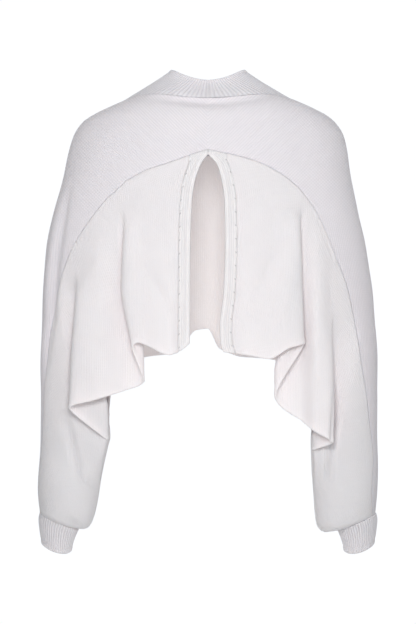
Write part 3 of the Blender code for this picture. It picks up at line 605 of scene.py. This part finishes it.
class Cloth:
    """One piece of cloth: the points of its middle surface, what is known of each, and its faces."""

    def __init__(self, name):
        self.name = name
        self.number = {}
        self.places, self.normals, self.knit, self.faces = [], [], [], []

    def point(self, key, place, normal, knit):
        if key not in self.number:
            self.number[key] = len(self.places)
            self.places.append(place)
            self.normals.append(normal)
            self.knit.append(knit)
        return self.number[key]

    def grid(self, side, columns, levels, anchor, hinge=None):
        """Joins a grid that has a row for each column of points, from the top down.

        The knit is counted across from the anchor. Past a hinge, which ends in the sleeve, the count goes
        on from the one that the hinge has at the wing.
        """
        columns, levels = np.broadcast_arrays(np.array(columns, float), np.array(levels, float))
        places = surface(side, columns, levels)
        normals = outward(side, columns, levels)
        across = run_along(side, columns.ravel(), levels.ravel(), hinge or anchor)
        if hinge:
            at_hinge = np.full(levels.size, float(AT[hinge]))
            wing = HEM[side]["W"] + 10 * AT_WING
            across += run_along(side, at_hinge, np.maximum(levels.ravel(), wing), anchor)
        across = across.reshape(columns.shape)
        step = np.linalg.norm(np.diff(places, axis=1), axis=-1)
        down = np.concatenate([np.zeros((len(step), 1)), np.cumsum(step, axis=1)], axis=1)
        index = np.zeros(levels.shape, int)
        for i, j in np.ndindex(levels.shape):
            half = "middle" if columns[i, j] in (0, AT["CF"]) else side
            key = (half, round(columns[i, j], 4), round(levels[i, j], 6))
            index[i, j] = self.point(key, places[i, j], normals[i, j], (across[i, j], down[i, j]))
        self.weave(index, side == "left")

    def panel(self, side, columns, seam, rows, anchor):
        """Joins a grid from the arch seam down to the hem."""
        ends = [(seam_level(seam, column), hem_level(side, column)) for column in columns]
        levels = [rows_between(top, bottom, rows) for top, bottom in ends]
        self.grid(side, np.array(columns)[:, None], levels, anchor)

    def sleeve(self, side, part, anchor, hinge=None):
        self.grid(side, sleeve_part(side, part).T, sleeve_levels(side), anchor, hinge)

    def ring(self, row, places, normals, down):
        """The numbers of a closed row of points round a band. Its knit is counted in ribs."""
        ribs = np.arange(len(places)) / COLUMNS_PER_RIB
        return [self.point((rib, row), place, normal, (rib, down))
                for place, normal, rib in zip(places, normals, ribs)]

    def close(self, rings, forward):
        index = np.array(rings).T
        self.weave(np.concatenate([index, index[:1]]), forward)

    def weave(self, index, forward):
        for i in range(index.shape[0] - 1):
            for j in range(index.shape[1] - 1):
                corners = (index[i, j], index[i + 1, j], index[i + 1, j + 1], index[i, j + 1])
                corners = list(dict.fromkeys(corners))
                if len(corners) > 2:
                    self.faces.append(corners if forward else corners[::-1])

    def settle(self):
        self.places = np.array(self.places)
        self.normals = np.array(self.normals)
        self.knit = np.array(self.knit)
        owner = {}
        for face in self.faces:
            for a, b in zip(face, face[1:] + face[:1]):
                owner[a, b] = face
        self.open_edges = [edge for edge in owner if edge[::-1] not in owner]
        inward = {}
        for a, b in self.open_edges:
            edge = unit(self.places[b] - self.places[a])
            way = self.places[owner[a, b]].mean(axis=0) - (self.places[a] + self.places[b]) / 2
            way = unit(way - edge * (way @ edge))
            inward.setdefault(a, []).append(way)
            inward.setdefault(b, []).append(way)
        self.rim = np.array(sorted(inward))
        self.inward = unit(np.array([np.sum(inward[vertex], axis=0) for vertex in self.rim]))
        self.rim_of = {vertex: number for number, vertex in enumerate(self.rim)}


def distance_to(points, targets):
    """Distance from each point to the nearest target, as far as it is searched for."""
    tree = KDTree(len(targets))
    for number, target in enumerate(targets):
        tree.insert(target, number)
    tree.balance()
    nearest = [tree.find(point)[2] for point in points] if len(targets) else EDGE_SEARCH
    return np.minimum(nearest, np.full(len(points), EDGE_SEARCH))


def sort_edges(cloths):
    """Finds for each point of each piece how far the nearest seam and the nearest free edge are."""
    for cloth in cloths:
        others = np.concatenate([other.places[other.rim] for other in cloths if other is not cloth])
        edge = cloth.places[cloth.rim]
        cloth.free = distance_to(edge, others) > SEAM_MEET
        cloth.from_seam = distance_to(cloth.places, edge[~cloth.free])
        cloth.from_hem = distance_to(cloth.places, edge[cloth.free])


def nearest_on(line, across, height):
    """Distance of points to a line of points, and how far along it they are from 0 to 1."""
    line = np.array(line)
    best = np.full(len(across), 1e9)
    along = np.zeros(len(across))
    for number in range(len(line) - 1):
        start, way = line[number], line[number + 1] - line[number]
        part = ((across - start[0]) * way[0] + (height - start[1]) * way[1]) / (way @ way)
        part = np.clip(part, 0, 1)
        away = np.hypot(across - start[0] - part * way[0], height - start[1] - part * way[1])
        closer = away < best
        best = np.where(closer, away, best)
        along = np.where(closer, (number + part) / (len(line) - 1), along)
    return best, along


FACING = dict(back=(1, -1), front=(1, 1), left=(0, -1), right=(0, 1))  # axis, and the way along it


def creased(places, normals):
    """How far each point is moved out along its normal by the creases and the cloth's own unevenness."""
    rise = np.zeros(len(places))
    for crease in CREASES:
        axis, sign = FACING[crease.facing]
        facing = np.clip(2 * sign * normals[:, axis], 0, 1)
        away, along = nearest_on(crease.points, places[:, 1 - axis], places[:, 2])
        fade = np.sin(np.pi * np.clip(along, CREASE_END, 1 - CREASE_END)) ** CREASE_TAPER
        rise += crease.rise * facing * fade * bell(away, crease.width)
    # Waves of 0.1 to 0.3 m, with no simple ratio between their lengths, so that nothing repeats
    x, y, z = places.T
    long = np.sin(x * 41 + 1.3) * np.sin(z * 37 + y * 23)
    short = np.sin(x * 67 - z * 29 + 2.1) * np.sin(y * 59 + z * 43 + 0.7)
    return rise + UNEVENNESS * (long + 0.6 * short)


def link(name, data):
    """A new object in the scene."""
    thing = bpy.data.objects.new(name, data)
    scene.collection.objects.link(thing)
    return thing


def closed_wall(node, piece):
    """A piece as one closed wall round its cloth, ribbed, hemmed and creased, standing for its CAD node."""
    cloth = piece.cloth
    places = cloth.places + cloth.normals * creased(cloth.places, cloth.normals)[:, None]
    hem = HEM_LIFT * (1 - ease(cloth.from_hem, *HEM_FADE))
    hem -= GROOVE_DEPTH * bell(cloth.from_hem - GROOVE_PLACE, GROOVE_WIDTH)
    seam = SEAM_SINK * bell(cloth.from_seam, SEAM_REACH)
    half = piece.thickness / 2 + hem + piece.relief(cloth)
    middle = places[cloth.rim] - cloth.inward * np.where(cloth.free, EDGE_ROLL, 0)[:, None]
    vertices = np.concatenate([
        places + cloth.normals * (half - seam)[:, None],
        places - cloth.normals * (half - SEAM_SINK_INSIDE * seam)[:, None],
        middle,
    ])
    count = len(places)
    faces = [list(face) for face in cloth.faces]
    faces += [[corner + count for corner in face[::-1]] for face in cloth.faces]
    for a, b in cloth.open_edges:
        rim_a, rim_b = 2 * count + cloth.rim_of[a], 2 * count + cloth.rim_of[b]
        faces += [[b, a, rim_a, rim_b], [rim_b, rim_a, a + count, b + count]]
    mesh = bpy.data.meshes.new(cloth.name)
    mesh.from_pydata(vertices.tolist(), [], faces)

    def on_wall(values):
        """What is known of the cloth's points, for the points of the wall."""
        return np.concatenate([values, values, values[cloth.rim]]).astype(np.float32)

    corner_points = np.zeros(len(mesh.loops), int)
    mesh.loops.foreach_get("vertex_index", corner_points)
    knit = mesh.uv_layers.new(name="knit")
    knit.data.foreach_set("uv", on_wall(cloth.knit)[corner_points].ravel())
    for name, values in (("from_seam", cloth.from_seam), ("from_hem", cloth.from_hem)):
        mesh.attributes.new(name, "FLOAT", "POINT").data.foreach_set("value", on_wall(values))
    mesh.shade_smooth()
    free = set(cloth.rim[cloth.free])
    seam_edges = [edge for edge in cloth.open_edges if not free.issuperset(edge)]
    sharp = {frozenset((a + shift, b + shift)) for a, b in seam_edges for shift in (0, count)}
    layer = mesh.attributes.new("sharp_edge", "BOOLEAN", "EDGE")
    layer.data.foreach_set("value", [frozenset(key) in sharp for key in mesh.edge_keys])
    mesh.materials.append(piece.material)
    made = link(cloth.name, mesh)
    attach(made, "root")
    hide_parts(node)
    return made


def lay_yoke():
    cloth = Cloth("yoke_cloth")
    for side in SIDES:
        top = sleeve_top(side)
        strip = AT["W"] + spaced(NEAR_SIDE, 1, STRIP_COLUMNS) * (AT["J"] - AT["W"])
        behind = columns_between(side, "K", "W", 0.0, top)
        ahead = columns_between(side, "J", "CF", 0.0, top)
        ends = [seam_level(arch_rows(side), column) for column in behind[:-1]]
        ends += [top] * len(strip)
        ends += [seam_level(front_arch_rows(side), column) for column in ahead[1:]]
        columns = np.array([*behind[:-1], *strip, *ahead[1:]])
        cloth.grid(side, columns[:, None], [rows_between(0, end, YOKE_ROWS) for end in ends], "O")
        cloth.sleeve(side, "strip", "O")
    return cloth


def lay_back(side):
    cloth = Cloth(f"back_{side}_cloth")
    columns = columns_between(side, "E", "W", BACK_PITCH_TOP, HEM[side]["W"])
    cloth.panel(side, columns, arch_rows(side), PANEL_ROWS, "E")
    cloth.sleeve(side, "back", "E", "W")
    return cloth


def lay_front():
    cloth = Cloth("front_cloth")
    for side in SIDES:
        columns = columns_between(side, "J", "CF", FRONT_PITCH_TOP, HEM[side]["W"])
        cloth.panel(side, columns, front_arch_rows(side), PANEL_ROWS, "CF")
        cloth.sleeve(side, "front", "CF", "J")
    return cloth


def lay_opening_band(side):
    cloth = Cloth(f"opening_band_{side}_cloth")
    columns = np.linspace(AT["K"], AT["E"], BAND_COLUMNS + 1)
    cloth.panel(side, columns, arch_rows(side), 2 * PANEL_ROWS, "K")
    return cloth


def neck_edge(angle, side):
    """The neckband's free edge, by the angle round the neck from centre back."""
    reach = np.where(angle < np.pi / 2, NECK_BACK, NECK_FRONT)
    return np.stack([
        SIDES[side] * NECK_HALF_WIDTH * np.sin(angle),
        -reach * np.cos(angle),
        round_neck(NECK_EDGE_HEIGHT, angle) - PEAK_DROP * np.sin(angle) ** 16,
    ], -1)


def even_ring(count, places, *others):
    """A closed ring of points, and what goes with them, spaced evenly round it."""
    whole = np.concatenate([places, places[:1]])
    run = np.concatenate([[0], np.cumsum(np.linalg.norm(np.diff(whole, axis=0), axis=1))])
    wanted = np.linspace(0, run[-1], count, endpoint=False)
    found = []
    for values in (places, *others):
        values = np.concatenate([values, values[:1]])
        found.append(np.stack([np.interp(wanted, run, value) for value in values.T], -1))
    return found


def lay_neckband():
    seams, edges, normals = [], [], []
    for side in SIDES:
        columns = np.linspace(0, AT["CF"], FINE)
        if side == "right":
            columns = columns[-2:0:-1]
        seam = surface(side, columns, 0.0)
        seams.append(seam)
        edges.append(neck_edge(neck_angle(side, seam[:, 0], seam[:, 1], 0.0), side))
        normals.append(outward(side, columns, 0.0))
    known = [np.concatenate(values) for values in (seams, edges, normals)]
    seam, edge, normal = even_ring(NECK_RIBS * COLUMNS_PER_RIB, *known)
    normal = unit(normal)
    cloth = Cloth("neckband_cloth")
    rings = [mix(seam, edge, part) + NECK_BULGE * np.sin(np.pi * part) * normal for part in NECK_ROWS]
    numbers = []
    for row, ring in enumerate(rings):
        round_way = np.roll(ring, -1, axis=0) - np.roll(ring, 1, axis=0)
        up = rings[min(row + 1, len(rings) - 1)] - rings[max(row - 1, 0)]
        facing = unit(np.cross(up, round_way)) if row else normal
        numbers.append(cloth.ring(row, ring, facing, NECK_ROWS[row]))
    cloth.close(numbers[::-1], True)
    return cloth


def lay_cuff(side):
    cloth = Cloth(f"cuff_{side}_cloth")
    fine = np.concatenate([sleeve_part(side, part)[-1][:-1] for part in SLEEVE_PARTS])
    count = CUFF_RIBS * COLUMNS_PER_RIB
    seam, normals = even_ring(count, surface(side, fine, CUFF_LEVEL), outward(side, fine, CUFF_LEVEL))
    top = SLEEVE[-1]
    inner, outer = getattr(top, side), between(OUTLINE, side, CUFF_LEVEL)
    across = ((outer + inner) / 2 - SIDES[side] * seam[:, 0]) / ((outer - inner) / 2)
    turn = np.arctan2(-(seam[:, 1] - top.middle) / top.half_depth, across)
    numbers = [cloth.ring(0, seam, unit(normals), 0.0)]
    edge = CUFF[-1].level
    levels = np.concatenate([
        CUFF_LEVEL - np.array(NEAR_EDGE[1:]),
        np.linspace(CUFF_LEVEL - EVEN_CUFF_ENDS[0], edge + EVEN_CUFF_ENDS[1], EVEN_CUFF_ROWS),
        edge + np.array(NEAR_EDGE[::-1]),
    ])
    for row, level in enumerate(levels, 1):
        inner, outer = between(CUFF, "inner", level), between(CUFF, "outer", level)
        middle, reach = (outer + inner) / 2, (outer - inner) / 2
        half_depth = between(CUFF, "half_depth", level)
        out = middle - reach * np.cos(turn)
        deep = between(CUFF, "middle", level) - half_depth * np.sin(turn)
        places = np.stack([SIDES[side] * out, deep, slanted(level, out, deep, level)], -1)
        normals = np.stack([-SIDES[side] * np.cos(turn) / reach, -np.sin(turn) / half_depth, 0 * turn], -1)
        numbers.append(cloth.ring(row, places, unit(normals), (CUFF_LEVEL - level) / (CUFF_LEVEL - edge)))
    cloth.close(numbers, side == "left")
    return cloth


def no_relief(cloth):
    return 0


def rib_relief(cloth):
    """Ribs of the neckband and cuffs, flatter at the seam than at the edge."""
    ribs = 0.5 + 0.5 * np.cos(2 * np.pi * cloth.knit[:, 0])
    return RIB_HEIGHT * (ribs * (SEAM_RIBS + (1 - SEAM_RIBS) * ease(cloth.knit[:, 1], 0, RIB_GROWTH)) - 0.5)


def neck_relief(cloth):
    """The neckband's ribs, with the sunk line of its join at the centre back."""
    from_join = np.minimum(cloth.knit[:, 0], NECK_RIBS - cloth.knit[:, 0])
    return rib_relief(cloth) - JOIN_SINK * bell(from_join, JOIN_WIDTH)


def opening_relief(cloth):
    """Fine ribs along the opening's bands."""
    return OPENING_RIB_HEIGHT * np.cos(2 * np.pi * cloth.knit[:, 0] / OPENING_RIB_PITCH)


# Materials

SEAM_LINE = 0.0016  # how far from a seam its shade reaches
SPOTS = 38.0  # of the yarn's unevenness, per metre
EDGE_OF_LIGHT = 0.005  # how far from a seam the cloth lets less light through
LIGHT_REACH = (0.0035, 0.008)  # how deep light goes, at a seam and further from it


class Nodes:
    """Builds one material, with plain sums written as calls."""

    def __init__(self, name, colour, roughness):
        self.material = bpy.data.materials.new(name)
        self.material.use_nodes = True
        self.tree = self.material.node_tree
        self.shader = self.tree.nodes["Principled BSDF"]
        self.feed(self.shader, {"Base Color": (*colour, 1), "Roughness": roughness})

    def feed(self, made, inputs):
        """Sets the inputs that are given as numbers, and links the others."""
        for name, value in inputs.items():
            if isinstance(value, (int, float, tuple)):
                made.inputs[name].default_value = value
            else:
                self.tree.links.new(value, made.inputs[name])

    def node(self, kind, inputs, **settings):
        """The outputs of a new node."""
        made = self.tree.nodes.new(kind)
        for name, value in settings.items():
            setattr(made, name, value)
        self.feed(made, inputs)
        return made.outputs

    def sum(self, operation, *values):
        return self.node("ShaderNodeMath", dict(enumerate(values)), operation=operation)[0]

    def product(self, *values):
        return reduce(lambda a, b: self.sum("MULTIPLY", a, b), values)

    def share(self, a, part, b):
        """a for its part, and b for the rest."""
        rest = 1 - part if isinstance(part, float) else self.sum("SUBTRACT", 1.0, part)
        return self.sum("MULTIPLY_ADD", a, part, self.product(b, rest))

    def uv(self):
        count = self.node("ShaderNodeUVMap", {}, uv_map="knit")["UV"]
        return self.node("ShaderNodeSeparateXYZ", {0: count})[:2]

    def place(self):
        return self.node("ShaderNodeTexCoord", {})["Object"]

    def wave(self, value, period):
        """1 at the crests of a wave along the value and 0 in its troughs."""
        turn = self.product(value, 2 * np.pi / period)
        return self.sum("MULTIPLY_ADD", self.sum("COSINE", turn), 0.5, 0.5)

    def range(self, value, low, high, start, end):
        inputs = {"Value": value, "From Min": low, "From Max": high, "To Min": start, "To Max": end}
        return self.node("ShaderNodeMapRange", inputs, interpolation_type="SMOOTHSTEP")[0]

    def from_seam(self):
        return self.node("ShaderNodeAttribute", {}, attribute_name="from_seam")["Fac"]

    def noise(self, scale):
        inputs = {"Vector": self.place(), "Scale": scale, "Detail": 2.0}
        return self.node("ShaderNodeTexNoise", inputs)["Fac"]

    def shade(self, height, darkest, full=1.0):
        """Darkest between the yarns, which is painted shade, and a little darker in the seam lines and in
        uneven spots.
        """
        yarn = self.range(height, 0.0, full, darkest, 1.0)
        seam = self.range(self.from_seam(), 0.0, SEAM_LINE, 0.80, 1.0)
        uneven = self.range(self.noise(SPOTS), 0.3, 0.7, 0.93, 1.0)
        return self.product(yarn, seam, uneven)

    def finish(self, height, fuzz_scale, fuzz, distance, colour, shade, deep):
        """Bump from the height and its fuzz, and the colour, darkened towards deep as shade falls to 0, in
        part painted shade.
        """
        fuzzed = self.sum("MULTIPLY_ADD", self.noise(fuzz_scale), fuzz, height)
        bump = {"Strength": 1.0, "Distance": distance, "Height": fuzzed}
        blend = {0: shade, 6: (*deep, 1), 7: (*colour, 1)}
        self.feed(self.shader, {
            "Base Color": self.node("ShaderNodeMix", blend, data_type="RGBA")[2],
            "Normal": self.node("ShaderNodeBump", bump)["Normal"],
            "Subsurface Weight": 1.0,
            "Subsurface Radius": (1.0, 0.93, 0.88),
            "Subsurface Scale": self.range(self.from_seam(), 0.0, EDGE_OF_LIGHT, *LIGHT_REACH),
            "Sheen Weight": 0.15,
            "Sheen Roughness": 0.5,
        })
        return self.material


def plain_knit():
    """Fine stocking stitch: wales down the cloth, with the stitches' slanted legs, and painted shade
    between them.
    """
    wale_pitch, course_pitch, leg_rise = 0.0030, 0.0022, 0.0011
    nodes = Nodes("plain_knit", (0.87, 0.84, 0.83), 0.90)
    u, v = nodes.uv()
    half_turn = nodes.sum("SINE", nodes.product(u, np.pi / wale_pitch))
    leg = nodes.product(nodes.sum("ABSOLUTE", half_turn), leg_rise)
    course = nodes.wave(nodes.sum("ADD", v, leg), course_pitch)
    height = nodes.share(nodes.wave(u, wale_pitch), 0.6, course)
    return nodes.finish(height, 900.0, 0.25, 0.0003, (0.955, 0.868, 0.873), nodes.shade(height, 0.72),
                        (0.87, 0.785, 0.795))


def textured_knit():
    """Coarser knit. Its courses slant across the shoulders, and its wales run down the sleeves as ribs."""
    slant_pitch, wale_pitch, course_pitch = 0.0048, 0.0034, 0.0026
    nodes = Nodes("textured_knit", (0.80, 0.78, 0.78), 0.95)
    u, v = nodes.uv()
    x, _, z = nodes.node("ShaderNodeSeparateXYZ", {0: nodes.place()})
    out = nodes.sum("ABSOLUTE", x)
    slant = nodes.wave(nodes.sum("SUBTRACT", out, z), slant_pitch)
    crossing = nodes.wave(nodes.sum("ADD", out, z), slant_pitch)
    woven = nodes.share(crossing, nodes.range(out, 0.09, 0.17, 0.12, 0.45), slant)
    rib = nodes.share(nodes.wave(u, wale_pitch), 0.75, nodes.wave(v, course_pitch))
    height = nodes.share(rib, nodes.range(z, -0.230, -0.110, 1.0, 0.0), woven)
    # Painted shade: the colour darkens from the shoulders down the sleeves, where the light falls off.
    shade = nodes.product(nodes.shade(height, 0.55), nodes.range(z, -0.330, -0.160, 0.70, 1.0))
    return nodes.finish(height, 500.0, 0.10, 0.00022, (0.88, 0.83, 0.865), shade, (0.70, 0.67, 0.71))


def ribbed_knit(name, colour, deep):
    """One-by-one rib, with painted shade between the ribs."""
    nodes = Nodes(name, (0.76, 0.74, 0.74), 0.92)
    u, v = nodes.uv()
    height = nodes.share(nodes.wave(u, 1.0), 0.8, nodes.wave(v, 0.065))
    return nodes.finish(height, 800.0, 0.12, 0.00025, colour, nodes.shade(height, 0.5, 0.8), deep)


def opening_knit():
    """The opening's bands: fine ribs along the edge, and dark spots of painted shade for the holes where it
    is linked on.
    """
    hole_pitch, hole_inset = 0.0192, 0.0016
    nodes = Nodes("opening_band_knit", (0.85, 0.82, 0.81), 0.90)
    u, v = nodes.uv()
    rib = nodes.wave(u, OPENING_RIB_PITCH)
    along = nodes.sum("SUBTRACT", nodes.sum("FRACT", nodes.sum("DIVIDE", v, hole_pitch)), 0.5)
    along = nodes.product(nodes.sum("ABSOLUTE", along), hole_pitch)
    across = nodes.sum("SUBTRACT", nodes.from_seam(), hole_inset)
    from_hole = nodes.sum("SQRT", nodes.sum("MULTIPLY_ADD", along, along, nodes.product(across, across)))
    # Painted shade: each hole is only a dark spot in the colour.
    shade = nodes.product(nodes.shade(rib, 0.72), nodes.range(from_hole, 0.0007, 0.0017, 0.0, 1.0))
    return nodes.finish(nodes.product(rib, 0.5), 800.0, 0.25, 0.0004, (0.91, 0.875, 0.87), shade,
                        (0.62, 0.60, 0.60))


# The pieces

scene = bpy.context.scene
plain, textured, opening = plain_knit(), textured_knit(), opening_knit()
neck_rib = ribbed_knit("neck_rib", (0.925, 0.89, 0.935), (0.62, 0.60, 0.64))
# The cuffs' rib is a darker copy of the neckband's: painted shade for the light falling off towards them.
cuff_rib = ribbed_knit("cuff_rib", (0.745, 0.73, 0.75), (0.53, 0.515, 0.54))
Piece = namedtuple("Piece", "cloth thickness relief material slot")
pieces = {
    "neckband": Piece(lay_neckband(), RIB, neck_relief, neck_rib, "ribbed_knit"),
    "yoke": Piece(lay_yoke(), CLOTH, no_relief, textured, "textured_knit"),
    "front": Piece(lay_front(), CLOTH, no_relief, plain, "plain_knit"),
}
for side in SIDES:
    band = Piece(lay_opening_band(side), CLOTH, opening_relief, opening, "opening_band_knit")
    pieces[f"back_{side}"] = Piece(lay_back(side), CLOTH, no_relief, plain, "plain_knit")
    pieces[f"opening_band_{side}"] = band
    pieces[f"cuff_{side}"] = Piece(lay_cuff(side), RIB, rib_relief, cuff_rib, "ribbed_knit")
for piece in pieces.values():
    piece.cloth.settle()
sort_edges([piece.cloth for piece in pieces.values()])
made = {node: closed_wall(node, piece) for node, piece in pieces.items()}

# What each piece is before it is sewn and worn: the width and length of the rectangle round its flat cut,
# and the cut's own area, all round on the neckband and cuffs
CUTS = rows_of(
    "piece width length area held carried_by",
    ("neckband", 0.66, 0.085, 0.0316, "draped", "yoke"),
    ("yoke", 1.54, 0.36, 0.217, "draped", "neckband"),
    ("front", 0.50, 0.57, 0.164, "hung", "yoke"),
    ("back_left", 0.39, 0.54, 0.092, "hung", "yoke"),
    ("back_right", 0.42, 0.54, 0.086, "hung", "yoke"),
    ("opening_band_left", 0.017, 0.30, 0.0047, "hung", "back_left"),
    ("opening_band_right", 0.017, 0.30, 0.0048, "hung", "back_right"),
    ("cuff_left", 0.160, 0.041, 0.0063, "hung", "yoke"),
    ("cuff_right", 0.160, 0.041, 0.0064, "hung", "yoke"),
)

# Camera, light and floor

EYE_DISTANCE = 8.0
EYE_HEIGHT = -0.3074
FRAME_HEIGHT = 0.9048  # of the picture, at the garment
LIT_PLACE = (0, 0, -0.3)  # where the lamps point
ROOM_LIGHT = 0.39
ROOM_BEHIND = 1.05  # how bright the room is where it is seen
FLOOR_LEVEL = -1.42
FLOOR_RADIUS = 3.2
camera_data = bpy.data.cameras.new("camera")
camera_data.lens = camera_data.sensor_width * EYE_DISTANCE / FRAME_HEIGHT
camera = link("camera", camera_data)
camera.location = (0, -EYE_DISTANCE, EYE_HEIGHT)
camera.rotation_euler = (np.pi / 2, 0, 0)
scene.camera = camera

LAMPS = rows_of(
    "name place size power colour",
    ("key", (-0.05, -1.8, 0.10), 0.4, 15.5, (1.0, 0.97, 0.965)),
    ("low", (0.0, -1.8, -0.40), 0.4, 3.5, (1.0, 0.97, 0.965)),
    ("fill", (0.9, -2.8, 0.9), 1.8, 9, (0.98, 0.98, 1.0)),
    ("through", (0.0, 2.4, 0.3), 2.4, 40, (1.0, 0.97, 0.95)),
)
for lamp in LAMPS:
    data = bpy.data.lights.new(lamp.name, "AREA")
    data.size = lamp.size
    data.energy = lamp.power
    data.color = lamp.colour
    light = link(lamp.name, data)
    light.location = lamp.place
    light.rotation_euler = (Vector(LIT_PLACE) - Vector(lamp.place)).to_track_quat("-Z", "Y").to_euler()

world = bpy.data.worlds.new("studio")
world.use_nodes = True
backdrop = world.node_tree.nodes["Background"]
backdrop.inputs["Color"].default_value = (0.96, 0.975, 1.0, 1)
seen = world.node_tree.nodes.new("ShaderNodeLightPath").outputs["Is Camera Ray"]
strength = world.node_tree.nodes.new("ShaderNodeMapRange")
strength.inputs["To Min"].default_value = ROOM_LIGHT
strength.inputs["To Max"].default_value = ROOM_BEHIND
world.node_tree.links.new(seen, strength.inputs["Value"])
world.node_tree.links.new(strength.outputs[0], backdrop.inputs["Strength"])
scene.world = world
scene.view_settings.view_transform = "Standard"

bpy.ops.object.select_all(action="DESELECT")
bpy.ops.mesh.primitive_circle_add(
    vertices=96, radius=FLOOR_RADIUS, fill_type="NGON", location=(0, 0, FLOOR_LEVEL))
floor = bpy.context.object
floor.name = "floor"
bpy.ops.object.transform_apply(location=True, rotation=True, scale=True)
floor.data.materials.append(Nodes("floor_paint", (0.86, 0.86, 0.86), 0.8).material)
